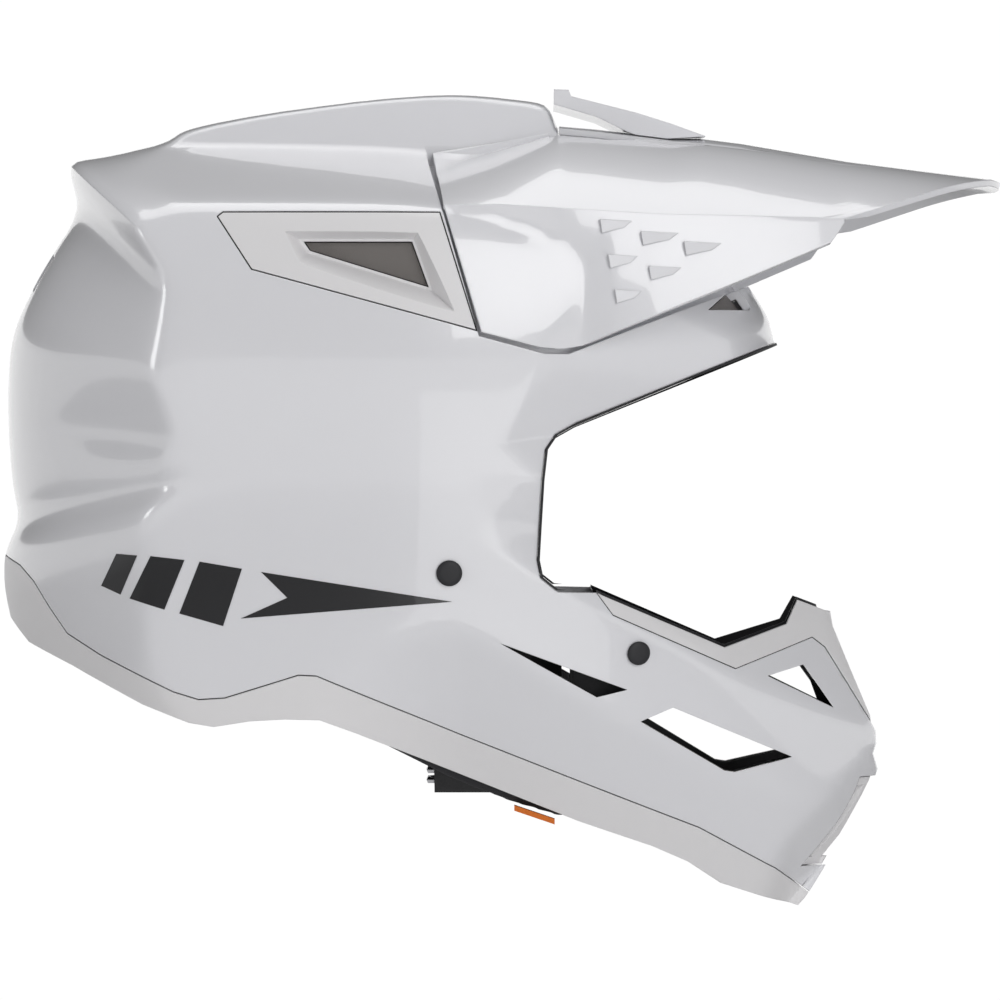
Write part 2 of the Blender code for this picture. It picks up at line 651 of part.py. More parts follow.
def make_mouth():
    foam = inner_band("foam", 8, 8, [(120, -200), (FAR, -200), (FAR, -250), (120, -250)], 64, 16)
    keep_inside(foam, front_prism("outline", MOUTH, 120, FAR))
    finish(foam, "mouth_filter", FOAM)
    grille = inner_band("grille", 1.5, 3.0, [(120, -200), (FAR, -200), (FAR, -250), (120, -250)], 64, 16)
    keep_inside(grille, front_prism("outline", grown(MOUTH, -0.4), 120, FAR))
    for y in (-10.2, 0, 10.2):
        bars = [(y - 3.4, -212.5), (y + 3.4, -212.5), (y + 2.0, -239.5), (y - 2.0, -239.5)]
        cut(grille, front_prism("slot", bars, 120, FAR))
    finish(grille, "mouth_grille", SATIN_WHITE)


def make_caps():
    for name, ((x, z), radius) in CAPS.items():
        for side, label in ((1, "left"), (-1, "right")):
            at, normal = surface_point(x, z, side)
            stem = radius - 1.8
            profile = [(stem, -4), (stem, 0.5), (radius, 0.5), (radius, 1.0)]
            profile += [(radius - 0.6, 1.5), (radius - 2, 1.7)]
            finish(lathe("cap", profile, at, normal, 16), f"{name}_{label}", BLACK_RUBBER)


STRAP_X, STRAP_WIDTH, STRAP_THICK = 30.0, 22.0, 2.0
BAR_Y, ARC_Y = -18.0, 4.0
RING_A_Z, RING_B_Z = -206.4, -210.2
LEFT_STRAP = [
    (75.4, -113), (60, -115), (56.5, -119), (56, -176), (51, -188), (40, -197), (14, -201.6),
    (-2, -203), (-6, -205.5), (-6.5, -208.3), (-5, -211.5), (-1, -213.3), (14, -213), (34, -208.5),
    (46, -203.5),
]
RIGHT_STRAP = [
    (-75.4, -113), (-60, -115), (-56.5, -119), (-56, -176), (-51, -188), (-42, -198), (-22, -203.2),
    (-17, -203.4), (-14.4, -205.5), (-14.2, -211), (-17, -213.6), (-22, -213.8), (-36, -207.0),
    (-43, -201.6),
]


def make_straps():
    finish(ribbon("strap", LEFT_STRAP, STRAP_WIDTH, STRAP_THICK, STRAP_X), "chin_strap_left", WEBBING)
    finish(ribbon("strap", RIGHT_STRAP, STRAP_WIDTH, STRAP_THICK, STRAP_X), "chin_strap_right", WEBBING)
    for name, z in (("d_ring_upper", RING_A_Z), ("d_ring_lower", RING_B_Z)):
        half = 13.0
        arc = [(half, ARC_Y - 7), (half * 0.6, ARC_Y - 0.6), (0, ARC_Y)]
        points = [(-half, BAR_Y), (half, BAR_Y), *arc] + [(-x, y) for x, y in arc[1::-1]]
        curve = bpy.data.curves.new(name, "CURVE")
        curve.dimensions, curve.bevel_depth, curve.bevel_resolution = "3D", 1.4 * MM, 1
        spline = curve.splines.new("POLY")
        spline.points.add(len(points) - 1)
        for p, (x, y) in zip(spline.points, points):
            p.co = ((STRAP_X + x) * MM, y * MM, z * MM, 1)
        spline.use_cyclic_u = True
        ring = bpy.data.objects.new(name, curve)
        bpy.context.scene.collection.objects.link(ring)
        graph = bpy.context.evaluated_depsgraph_get()
        mesh = bpy.data.meshes.new_from_object(ring.evaluated_get(graph))
        bpy.data.objects.remove(ring, do_unlink=True)
        solid = bpy.data.objects.new(name, mesh)
        bpy.context.scene.collection.objects.link(solid)
        finish(solid, name, STEEL)
    for side, label in ((1, "left"), (-1, "right")):
        y0, y1 = sorted((side * 76.0, side * 78.2))
        anchor = box("anchor", (STRAP_X - 12, y0, -122), (STRAP_X + 11, y1, -100))
        finish(anchor, f"strap_anchor_{label}", STEEL)
    snap_at, snap_down = (STRAP_X, 40.6, -207.4), (0, 0.385, -0.923)
    finish(lathe("snap", [(5, 0), (5, 1.2), (3.5, 2.0)], snap_at, snap_down, 16), "strap_snap", STEEL)


# ---------------------------------------------------------------- visor
VISOR_TIP, VISOR_CORNER = 233.3, 170.7
VISOR_THICK = 2.4
VISOR_PROUD = 0.6
VISOR_CENTRE = [
    (10, 20), (40, 28), (66, 36.6), (80, 35.4), (108, 32.0), (120, 31.9), (135, 30), (175, 23.2),
    (228, 16.3), (233.3, 14.4),
]
VISOR_CREASE = [(10, 3.2), (44, 3.7), (102, 0.3), (170.7, -0.8), (200, 3), (233.3, 9)]
VISOR_WIDTH = [(10, 108), (40, 106), (66, 104), (100, 99.5), (135, 94), (170.7, 86), (233.3, 83)]
VISOR_BOTTOM = [
    (36.4, -43.1), (58.0, -48.6), (66, -49.3), (74.0, -48.0), (84, -43.7), (135.5, -22.6),
    (165.8, -9.7), (170.7, -2.5),
]


def along(line, x):
    return float(np.interp(x, [p[0] for p in line], [p[1] for p in line]))


def visor_front(v):
    return VISOR_CORNER + (VISOR_TIP - VISOR_CORNER) * (1 - v**2.6) ** 0.7


def visor_rear(v):
    """Rear edge of the top in plan: on the ridge foot near the middle, on the seam at the side."""
    return float(np.interp(v, [0, 0.36, 0.385, 1], [VISOR_REAR, VISOR_REAR, 18.5, 23.0]))


def visor_top(x, v):
    drop = abs(v) ** 2.3
    centre, crease = along(VISOR_CENTRE, x), along(VISOR_CREASE, x)
    return centre - (centre - crease) * drop


def visor_side(x, z):
    """Half-width of the visor's side below its crease."""
    width = along(VISOR_WIDTH, x)
    drop = along(VISOR_CREASE, x) - z
    lean = float(np.interp(x, [20, 70, 165], [0.17, 0.13, 0.35]))
    body = float(surface_y(np.array(min(x, 75.0)), np.array(z)))
    near = np.clip((85 - x) / 30, 0, 1)
    return (1 - near) * (width + lean * drop) + near * max(width, body)


def body_top(x, y):
    """Height of the body's upper surface at a point in plan."""
    heights = np.linspace(along(SHOULDER, x) - 4, 52, 70)
    widths = np.minimum.accumulate(surface_y(np.full(70, float(x)), heights))
    return float(np.interp(-abs(y), -widths, heights))


def visor_sheet(lift, rows=18, top=8, side=4):
    """Rows of points from the left lower edge over the top to the right one, lifted by lift mm."""
    grid = []
    for i in range(rows + 1):
        s = i / rows
        half = []
        for j in range(top + 1):
            v = j / top
            x = visor_rear(v) + s * (visor_front(v) - visor_rear(v))
            y = v * visor_side(x, along(VISOR_CREASE, x))
            lie = body_top(x, y) if x < 80 and 0 < j < top else -100
            half.append((x, y, max(visor_top(x, v), lie)))
        for j in range(1, side + 1):
            t = j / side
            x_low = 36.9 + s * (VISOR_CORNER - 36.9)
            x_top = visor_rear(1) + s * (VISOR_CORNER - visor_rear(1))
            x = x_top + t * (x_low - x_top)
            z_top = along(VISOR_CREASE, x)
            z = z_top + t * (min(along(VISOR_BOTTOM, x_low), z_top - 1.5) - z_top)
            half.append((x, visor_side(x, z), z))
        grid.append([(x, -y, z) for x, y, z in half[:0:-1]] + half)
    points = np.array(grid)
    across = np.gradient(points, axis=1)
    ahead = np.gradient(points, axis=0)
    normal = np.cross(ahead, across)
    normal /= np.linalg.norm(normal, axis=2, keepdims=True) + 1e-9
    return points + normal * lift


def closed_sheet(name, outer, inner):
    """A thin solid between two grids of the same size."""
    rows, cols = outer.shape[:2]
    verts = np.concatenate([outer.reshape(-1, 3), inner.reshape(-1, 3)]) * MM
    half = rows * cols
    faces = []
    for i in range(rows - 1):
        for j in range(cols - 1):
            a, b, c, d = i * cols + j, i * cols + j + 1, (i + 1) * cols + j + 1, (i + 1) * cols + j
            faces += [(a, b, c, d), (half + d, half + c, half + b, half + a)]
    edge = [j for j in range(cols)] + [i * cols + cols - 1 for i in range(1, rows)]
    edge += [(rows - 1) * cols + j for j in range(cols - 2, -1, -1)]
    edge += [i * cols for i in range(rows - 2, 0, -1)]
    faces += [(b, a, half + a, half + b) for a, b in zip(edge, edge[1:] + edge[:1])]
    obj = new_object(name, verts, faces)
    mesh = bmesh.new()
    mesh.from_mesh(obj.data)
    bmesh.ops.recalc_face_normals(mesh, faces=mesh.faces)
    mesh.to_mesh(obj.data)
    mesh.free()
    return obj


def make_visor():
    visor = closed_sheet("visor", visor_sheet(VISOR_PROUD), visor_sheet(VISOR_PROUD - VISOR_THICK))
    for side in (1, -1):
        opening = [(62, side * 29), (62, side * 46), (84, side * 45), (109, side * 29.5)]
        cut(visor, plan_prism("opening", opening, 0, 80))
    cut(visor, recessed_body("under", -2 * GAP))
    keep_largest(visor)
    finish(visor, "visor", GLOSS_WHITE, 30)
    outline = [
        (64, 44.5), (64, 50.2), (69.5, 50.0), (70.5, 47.6), (95, 41.4), (108.3, 37.2), (121, 32.6),
        (121, 32.35), (100, 31.2), (92, 34.0), (80, 39.8),
    ]
    bridge = prism("bridge", outline, -27, 27)
    cut(bridge, recessed_body("under", -GAP))
    cut(bridge, closed_sheet("sheet", visor_sheet(VISOR_PROUD + GAP), visor_sheet(-9)))
    keep_largest(bridge)
    return finish(bridge, "visor_bridge", GLOSS_WHITE, 30)


def build():
    make_outer_shell()
    make_base_trim()
    make_chin_trim()
    make_nose_guard()
    make_gasket()
    make_impact_liner()
    make_chin_liner()
    make_crown_liner()
    make_neck_roll()
    make_cheek_pads()
    make_release_tabs()
    make_vent_panels()
    make_vent_meshes()
    make_mouth()
    make_caps()
    make_straps()
    make_visor()


build()
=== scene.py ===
"""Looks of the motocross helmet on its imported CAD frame: finer shapes, materials, light and camera.

Lengths in the shape functions are in millimetres; X forward, Y to the wearer's left, Z up.
"""
import json
import math

import bmesh
import bpy
import numpy as np
from mathutils import Matrix, Vector


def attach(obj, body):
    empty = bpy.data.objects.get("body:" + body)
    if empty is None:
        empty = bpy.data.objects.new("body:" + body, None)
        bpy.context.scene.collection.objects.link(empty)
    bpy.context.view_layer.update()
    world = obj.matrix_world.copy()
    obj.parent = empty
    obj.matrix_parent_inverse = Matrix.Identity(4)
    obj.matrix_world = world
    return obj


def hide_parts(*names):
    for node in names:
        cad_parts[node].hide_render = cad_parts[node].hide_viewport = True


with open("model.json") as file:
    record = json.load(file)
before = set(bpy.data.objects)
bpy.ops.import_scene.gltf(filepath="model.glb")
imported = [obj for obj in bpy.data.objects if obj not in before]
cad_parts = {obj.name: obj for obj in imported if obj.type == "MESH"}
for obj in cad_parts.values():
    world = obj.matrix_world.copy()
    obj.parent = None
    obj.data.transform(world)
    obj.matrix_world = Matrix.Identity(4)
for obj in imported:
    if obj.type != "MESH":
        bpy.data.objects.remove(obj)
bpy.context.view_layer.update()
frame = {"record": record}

MM = 0.001
SHELL = 3.0          # moulded shell wall
TRIM_THICK = 5.0     # base trim, which laps behind the shell's lower edge
GAP = 0.4            # clearance between touching pieces
LINER = 9.0          # comfort liner thickness
FAR = 400.0          # beyond the helmet, for cutters

# ---------------------------------------------------------------- the body surface
CENTRE = (0.0, -85.0)        # pole of the side view
HALF_WIDTH = 122.0           # widest point, above the ears
WIDEST = (-20.0, -66.0)
NOSE_REACH = 225.0          # from the widest point to where the chin closes
STEEPEST = 3.0              # limit of the correction for a leaning surface
END_RADIUS = 112.0           # how roundly the rear and the chin close, seen from above
CROWN_RADIUS = 300.0         # how flat the crown ridge is across

SILHOUETTE = [               # the centre line, from the brow over the crown to the chin
    (147.4, -44.0), (146.0, -36.0), (138.0, -23.0), (126.0, -10.0), (106.0, 8.0),
    (82.0, 26.0), (67.0, 33.0), (62.0, 45.2), (55.1, 46.8), (28.5, 49.4), (1.9, 47.9),
    (-24.7, 44.8), (-51.3, 41.0),
    (-76.0, 36.0), (-83.0, 30.8), (-104.5, 25.8), (-118.2, 23.9), (-119.7, 20.5),
    (-115.6, 4.5), (-131.1, -19.4), (-141.7, -41.8), (-143.3, -66.5), (-141.7, -96.9),
    (-138.6, -112.0), (-144.4, -124.5), (-144.4, -139.0), (-138.0, -165.0), (-125.0, -205.0),
    (-80.0, -255.0), (0.0, -290.0), (80.0, -310.0), (130.0, -288.0), (156.5, -259.0),
    (161.5, -253.3), (188.7, -206.5), (184.6, -201.0), (188.1, -194.2), (166.8, -146.7),
    (170.0, -120.0), (162.0, -80.0),
]

SEAM = [                     # where the shell meets the base trim
    (-144.6, -124.3), (-135.8, -128.7), (-130.0, -134.6), (-123.7, -144.2), (-116.7, -153.7),
    (-103.8, -161.3), (-75.9, -174.6), (-66.7, -177.4), (-57.1, -176.8), (-42.9, -172.4),
    (-30.1, -168.4), (-23.5, -168.7), (29.0, -190.7), (117.9, -226.3), (147.3, -242.7),
    (162.5, -254.3),
]
RIM = [                      # the lower edge of the base trim
    (-144.0, -146.0), (-133.0, -157.7), (-115.0, -165.8), (-87.7, -179.6), (-70.4, -186.2),
    (-61.2, -187.7), (-48.0, -185.6), (-35.2, -184.9), (-22.4, -185.2), (-9.5, -190.0),
    (21.7, -202.9), (73.0, -223.8), (100.6, -233.5), (113.8, -239.5), (126.3, -248.0),
    (148.0, -255.5), (158.0, -258.8),
]
EYEPORT = [                  # opening for the eyes, from the brow round the temple to the nose
    (145.5, -47.1), (73.0, -76.0), (65.0, -80.5), (61.3, -86.0), (60.0, -97.2),
    (58.3, -126.5), (59.6, -133.0), (65.0, -137.2), (79.0, -138.6),
]
TRIM_SEAM = [                # where the shell meets the upper chin trim
    (79.0, -138.6), (85.2, -147.0), (131.0, -167.2), (161.0, -156.2), (166.0, -160.0),
    (188.3, -195.4),
]
TRIM_TOP = [(79.0, -138.6), (127.0, -159.2), (151.0, -151.0), (155.6, -142.0), (167.5, -146.5)]

REAR_CREASE = [(-120.0, 30.0), (-105.0, 0.0), (-85.1, -46.0), (-74.4, -83.0)]
REAR_CREASE_LOW = [(-74.4, -83.0), (-89.9, -115.2), (-116.9, -150.5)]
TEMPLE_UP = [(24.0, -60.0), (45.2, -83.7)]
TEMPLE_DOWN = [(45.2, -83.7), (29.8, -117.3)]
CHIN_RIDGE = [(20.0, -112.0), (56.0, -131.5), (80.0, -145.0), (130.0, -170.0), (190.0, -196.0)]
CHEEK_FOLD = [(-30.0, -168.0), (23.9, -149.0), (43.7, -158.0), (84.0, -184.0), (150.0, -214.0)]
CHIN_FACE = [(150.5, -232.0), (183.0, -199.0)]
VISOR_AREA = [               # where the shell is lower, so that the visor lies flush
    (9.3, 60.0), (17.2, 20.4), (36.0, -44.6), (60.0, -51.0), (69.0, -51.0), (80.0, -46.5),
    (135.5, -24.6), (160.0, -14.0), (160.0, 60.0),
]
SHOULDER = [(-130.0, 3.0), (-59.0, 3.6), (21.7, 3.0), (80.0, -9.0), (117.0, -27.0), (160.0, -52.0)]
RIDGE_FOOT = [(-125.0, 14.0), (-87.7, 20.2), (-11.5, 33.3), (30.6, 35.2), (68.0, 27.0),
              (100.0, 10.0), (150.0, -30.0)]


def rounded(points, rounds=3, closed=True):
    """Corner cutting: each round replaces a corner by two points a quarter along its sides."""
    p = np.array(points, float)
    for _ in range(rounds):
        q = np.roll(p, -1, axis=0) if closed else p[1:]
        a = p if closed else p[:-1]
        cut = np.empty((2 * len(a), 2))
        cut[0::2] = 0.8 * a + 0.2 * q
        cut[1::2] = 0.2 * a + 0.8 * q
        p = cut if closed else np.vstack([p[:1], cut, p[-1:]])
    return p


_outline = rounded(SILHOUETTE, 2) - np.array(CENTRE)
_angle = np.arctan2(_outline[:, 1], _outline[:, 0])
_order = np.argsort(_angle)
_angle, _reach = _angle[_order], np.hypot(_outline[:, 0], _outline[:, 1])[_order]
_angle = np.concatenate([_angle - 2 * math.pi, _angle, _angle + 2 * math.pi])
_reach = np.tile(_reach, 3)


def reach(angle):
    """Distance from the pole to the silhouette, in mm, at an angle in the side view."""
    return np.interp(angle, _angle, _reach)


def soft(x, width=2.0):
    """A ramp that is 0 below zero and x above it, with a corner rounded over width."""
    return 0.5 * (x + np.sqrt(x * x + width * width))


def soft_min(a, b, width=3.0):
    return a - soft(a - b, width)


def soft_max(a, b, width=3.0):
    return a + soft(b - a, width)


def beside(line, x, z):
    """Signed distance to the left of the first-to-last line of a polyline, seen along it."""
    (x0, z0), (x1, z1) = line[0], line[-1]
    length = math.hypot(x1 - x0, z1 - z0)
    return ((x1 - x0) * (z - z0) - (z1 - z0) * (x - x0)) / length


SMOOTHED = {}


def height_over(line, x, z):
    key = tuple(line)
    if key not in SMOOTHED:
        SMOOTHED[key] = rounded(line, 3, closed=False)
    p = SMOOTHED[key]
    return z - np.interp(x, p[:, 0], p[:, 1])


def fade(value, start, end):
    """Rises smoothly from 0 at start to 1 at end."""
    t = np.clip((value - start) / (end - start), 0, 1)
    return t * t * (3 - 2 * t)


def wide_y(x, z):
    """Half-width of the helmet at a side-view point before the sides close at its outline, in mm."""
    dx, dz = x - WIDEST[0], z - WIDEST[1]
    ahead = np.clip(dx, 0, NOSE_REACH - 1) / NOSE_REACH
    y = HALF_WIDTH * (1 - ahead**2.2) ** 0.64
    y = y - 0.0016 * np.clip(-dx, 0, None) ** 2 * 0.35
    y = y - np.where(dz > 0, 0.0024, 0.0009) * dz * dz
    # temple facet, chin ridge and cheek fold
    y = y - 0.34 * soft(np.minimum(-beside(TEMPLE_UP[::-1], x, z), -beside(TEMPLE_DOWN[::-1], x, z)), 3)
    front = fade(x, 30, 70) * fade(z, -95, -120)
    y = y - 0.50 * front * soft(height_over(CHIN_RIDGE, x, z), 1.5)
    y = y - 1.1 * soft(-beside(CHIN_FACE, x, z), 2) * fade(x, 140, 155)
    y = y - 0.42 * fade(x, -30, 20) * soft(-height_over(CHEEK_FOLD, x, z), 2)
    # the rear facet falls away behind the arrow-shaped crease
    upper = -beside(REAR_CREASE, x, z)
    lower = -beside(REAR_CREASE_LOW, x, z)
    y = y - 1.15 * soft(soft_min(upper, lower, 4), 1.2)
    # the top falls away above the shoulder line, and the crown ridge stands on it
    top = y - 2.6 * soft(height_over(SHOULDER, x, z), 2.5)
    over = height_over(RIDGE_FOOT, x, z)
    return np.where(over > -14, soft_max(top, 37.0 - 0.45 * over, 2.5), top)


def surface_y(x, z, inset=0.0):
    """Half-width of the helmet at a side-view point, less inset square to the surface, in mm."""
    y = wide_y(x, z)
    slope = np.hypot(wide_y(x + 1, z) - wide_y(x - 1, z), wide_y(x, z + 1) - wide_y(x, z - 1)) / 2
    lean = np.minimum(np.sqrt(1 + slope**2), STEEPEST)
    angle = np.arctan2(z - CENTRE[1], x - CENTRE[0])
    depth = np.clip(reach(angle) - inset - np.hypot(x - CENTRE[0], z - CENTRE[1]), 0, None)
    crown = np.exp(-((np.degrees(angle) - 92) / 38.0) ** 2)
    close = np.sqrt(2 * (END_RADIUS + (CROWN_RADIUS - END_RADIUS) * crown) * depth)
    y = np.clip(y - inset * lean, 1.0, None)
    return np.minimum(soft_min(y, close, 4.0 * np.clip(close / 20, 0, 1)), close)


# ---------------------------------------------------------------- mesh tools
def new_object(name, verts, faces):
    mesh = bpy.data.meshes.new(name)
    mesh.from_pydata([tuple(v) for v in verts], [], faces)
    mesh.update()
    obj = bpy.data.objects.new(name, mesh)
    bpy.context.scene.collection.objects.link(obj)
    return obj


def body_solid(name, inset=0.0, turns=84, rings=20):
    """The closed body, as a polar grid about the pole on each side."""
    angles = np.linspace(-math.pi, math.pi, turns, endpoint=False)
    verts, faces = [], []
    share = np.linspace(0, 1, rings + 1)[1:]
    for side in (1, -1):
        for j, s in enumerate(share):
            if side < 0 and j == rings - 1:
                continue
            r = (reach(angles) - inset) * (1 - (1 - s) ** 1.7)
            x = CENTRE[0] + r * np.cos(angles)
            z = CENTRE[1] + r * np.sin(angles)
            y = surface_y(x, z, inset) if j < rings - 1 else np.zeros(turns)
            verts += [(a * MM, side * b * MM, c * MM) for a, b, c in zip(x, y, z)]
        pole = float(surface_y(np.array(CENTRE[0]), np.array(CENTRE[1]), inset))
        verts.append((CENTRE[0] * MM, side * pole * MM, CENTRE[1] * MM))
    left_pole, first_right = rings * turns, rings * turns + 1
    right_pole = len(verts) - 1

    def at(side, ring, turn):
        turn %= turns
        if side > 0 or ring == rings - 1:
            return ring * turns + turn
        return first_right + ring * turns + turn

    for side, pole in ((1, left_pole), (-1, right_pole)):
        for t in range(turns):
            quad_rows = [(pole, at(side, 0, t), at(side, 0, t + 1))]
            for j in range(rings - 1):
                near, far = at(side, j, t), at(side, j + 1, t)
                quad_rows.append((near, far, at(side, j + 1, t + 1), at(side, j, t + 1)))
            faces += [f[::-1] if side > 0 else f for f in quad_rows]
    return new_object(name, verts, faces)


def prism(name, outline, y0=-FAR, y1=FAR):
    """An outline in the side view, in mm, extruded along Y."""
    area = sum(a[0] * b[1] - b[0] * a[1] for a, b in zip(outline, outline[1:] + outline[:1]))
    loop = list(outline) if area > 0 else list(outline)[::-1]
    n = len(loop)
    verts = [(x * MM, y * MM, z * MM) for y in (y0, y1) for x, z in loop]
    faces = [tuple(range(n)), tuple(range(2 * n - 1, n - 1, -1))]
    faces += [(i, n + i, n + (i + 1) % n, (i + 1) % n) for i in range(n)]
    return new_object(name, verts, faces)


def combine(obj, other, operation, keep_other=False, solver="MANIFOLD"):
    """Applies a Boolean of obj with other, and removes other; the exact solver empties the shell."""
    modifier = obj.modifiers.new(operation, "BOOLEAN")
    modifier.operation, modifier.object, modifier.solver = operation, other, solver
    graph = bpy.context.evaluated_depsgraph_get()
    mesh = bpy.data.meshes.new_from_object(obj.evaluated_get(graph))
    obj.modifiers.clear()
    obj.data = mesh
    if not keep_other:
        bpy.data.objects.remove(other, do_unlink=True)
    return obj


def cut(obj, *others):
    for other in others:
        combine(obj, other, "DIFFERENCE")
    return obj


def keep_inside(obj, other):
    return combine(obj, other, "INTERSECT")


def join(obj, *others):
    for other in others:
        combine(obj, other, "UNION")
    return obj


def keep_largest(obj):
    """Drops the loose slivers that a cut can leave."""
    mesh = bmesh.new()
    mesh.from_mesh(obj.data)
    left, bodies = set(mesh.verts), []
    while left:
        body, queue = set(), [left.pop()]
        while queue:
            vert = queue.pop()
            body.add(vert)
            for edge in vert.link_edges:
                other = edge.other_vert(vert)
                if other in left:
                    left.remove(other)
                    queue.append(other)
        bodies.append(body)
    bodies.sort(key=len)
    bmesh.ops.delete(mesh, geom=[v for body in bodies[:-1] for v in body], context="VERTS")
    mesh.to_mesh(obj.data)
    mesh.free()
    return obj


# ---------------------------------------------------------------- materials
def shader_of(name, colour, roughness, metallic=0.0, coat=0.0, edge=0.0, specular=0.5):
    """A Principled material; edge is the radius in metres over which its edges look rounded."""
    made = bpy.data.materials.new(name)
    made.use_nodes = True
    tree = made.node_tree
    shader = tree.nodes["Principled BSDF"]
    shader.inputs["Base Color"].default_value = (*colour, 1)
    shader.inputs["Roughness"].default_value = roughness
    shader.inputs["Metallic"].default_value = metallic
    shader.inputs["Coat Weight"].default_value = coat
    shader.inputs["Coat Roughness"].default_value = 0.03
    shader.inputs["Specular IOR Level"].default_value = specular
    if edge:
        bevel = tree.nodes.new("ShaderNodeBevel")
        bevel.samples = 6
        bevel.inputs["Radius"].default_value = edge
        tree.links.new(bevel.outputs["Normal"], shader.inputs["Normal"])
        tree.links.new(bevel.outputs["Normal"], shader.inputs["Coat Normal"])
    return made


def bump_on(made, kind, scale, strength, distance, tint=None):
    """Adds a procedural relief, and a tint between the material's colour and another."""
    tree = made.node_tree
    shader = tree.nodes["Principled BSDF"]
    coords = tree.nodes.new("ShaderNodeTexCoord")
    place = tree.nodes.new("ShaderNodeMapping")
    place.inputs["Scale"].default_value = (scale, scale, scale)
    tree.links.new(coords.outputs["Object"], place.inputs["Vector"])
    if kind == "weave":
        wave = tree.nodes.new("ShaderNodeTexWave")
        wave.bands_direction = "X"
        other = tree.nodes.new("ShaderNodeTexWave")
        other.bands_direction = "Z"
        joined = tree.nodes.new("ShaderNodeMath")
        joined.operation = "MULTIPLY"
        for source in (wave, other):
            source.inputs["Scale"].default_value = 1.0
            tree.links.new(place.outputs["Vector"], source.inputs["Vector"])
        tree.links.new(wave.outputs["Fac"], joined.inputs[0])
        tree.links.new(other.outputs["Fac"], joined.inputs[1])
        height = joined.outputs["Value"]
    elif kind == "cells":
        cells = tree.nodes.new("ShaderNodeTexVoronoi")
        cells.inputs["Scale"].default_value = 1.0
        tree.links.new(place.outputs["Vector"], cells.inputs["Vector"])
        height = cells.outputs["Distance"]
    else:
        noise = tree.nodes.new("ShaderNodeTexNoise")
        noise.inputs["Scale"].default_value = 1.0
        noise.inputs["Detail"].default_value = 4.0
        tree.links.new(place.outputs["Vector"], noise.inputs["Vector"])
        height = noise.outputs["Fac"]
    bump = tree.nodes.new("ShaderNodeBump")
    bump.inputs["Strength"].default_value = strength
    bump.inputs["Distance"].default_value = distance
    tree.links.new(height, bump.inputs["Height"])
    if shader.inputs["Normal"].links:
        tree.links.new(shader.inputs["Normal"].links[0].from_socket, bump.inputs["Normal"])
    tree.links.new(bump.outputs["Normal"], shader.inputs["Normal"])
    if tint:
        mix = tree.nodes.new("ShaderNodeMix")
        mix.data_type = "RGBA"
        mix.inputs["A"].default_value = shader.inputs["Base Color"].default_value
        mix.inputs["B"].default_value = (*tint, 1)
        tree.links.new(height, mix.inputs["Factor"])
        tree.links.new(mix.outputs["Result"], shader.inputs["Base Color"])
    return made


GLOSS_WHITE = shader_of("gloss white", (0.80, 0.80, 0.83), 0.22, coat=0.7, edge=0.0007)
SATIN_WHITE = shader_of("satin white", (0.80, 0.79, 0.80), 0.42, edge=0.0006)
BLACK_RUBBER = shader_of("black rubber", (0.016, 0.016, 0.019), 0.55, edge=0.0004)
FOAM = bump_on(shader_of("impact foam", (0.022, 0.022, 0.024), 0.8), "cells", 450, 0.25, 0.0006)
FABRIC = bump_on(shader_of("liner fabric", (0.03, 0.03, 0.034), 0.9), "weave", 900, 0.5, 0.0003,
                 (0.012, 0.012, 0.014))
WEBBING = bump_on(shader_of("webbing", (0.02, 0.02, 0.022), 0.8), "weave", 700, 0.8, 0.0004)
MESH_GREY = bump_on(shader_of("vent mesh", (0.46, 0.43, 0.41), 0.45, 0.3), "weave", 1500, 1.0, 0.0004,
                    (0.10, 0.09, 0.085))
STEEL = shader_of("steel", (0.62, 0.62, 0.64), 0.22, 1.0, edge=0.0003)
ORANGE = bump_on(shader_of("orange webbing", (0.80, 0.19, 0.02), 0.7), "weave", 900, 0.6, 0.0003)
BLACK_GLOSS = shader_of("black gloss", (0.012, 0.012, 0.014), 0.25, coat=0.5)


BODY_OF = {node: body for body, nodes in frame["record"]["behaviour"]["bodies"].items() for node in nodes}


def finish(obj, name, look, smooth=35):
    """Gives a piece its material and smooth shading, hangs it on the body of the CAD node of that name, and
    hides that node.
    """
    obj.data.materials.clear()
    obj.data.materials.append(look)
    obj.data.shade_smooth()
    obj.data.set_sharp_from_angle(angle=math.radians(smooth))
    obj.name = f"{name}_look"
    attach(obj, BODY_OF[name])
    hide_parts(name)
    return obj


def belong(obj, name, body, look, smooth=35):
    """A piece that the CAD has no node for."""
    obj.data.materials.clear()
    obj.data.materials.append(look)
    obj.data.shade_smooth()
    obj.data.set_sharp_from_angle(angle=math.radians(smooth))
    obj.name = name
    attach(obj, body)
    return obj


def offset_line(line, dx, dz):
    return [(x + dx, z + dz) for x, z in line]


def below(line, drop=0.0):
    """Side-view outline of everything under a line that runs from the rear to the front."""
    shifted = offset_line(line, 0, -drop)
    return [(-FAR, shifted[0][1]), *shifted, (FAR, shifted[-1][1]), (FAR, -FAR), (-FAR, -FAR)]


def above(line, rise=0.0):
    shifted = offset_line(line, 0, rise)
    return [(-FAR, shifted[0][1]), *shifted, (FAR, shifted[-1][1]), (FAR, FAR), (-FAR, FAR)]


def eyeport_outline(grow=0.0, seam=0.0):
    upper = [(FAR, 55.0 + grow), (145.5, -47.1 + grow)]
    temple = [(x - grow, z) for x, z in EYEPORT[1:7]]
    lower = [(x, z - grow) for x, z in EYEPORT[7:8]] + [(x, z - seam) for x, z in TRIM_SEAM]
    return upper + temple + lower + [(FAR, -195.4 - grow - 120.0)]


def both_sides(make):
    """Calls make(side, label) for the wearer's left (+1) and right (-1)."""
    return [make(side, label) for side, label in ((1, "left"), (-1, "right"))]


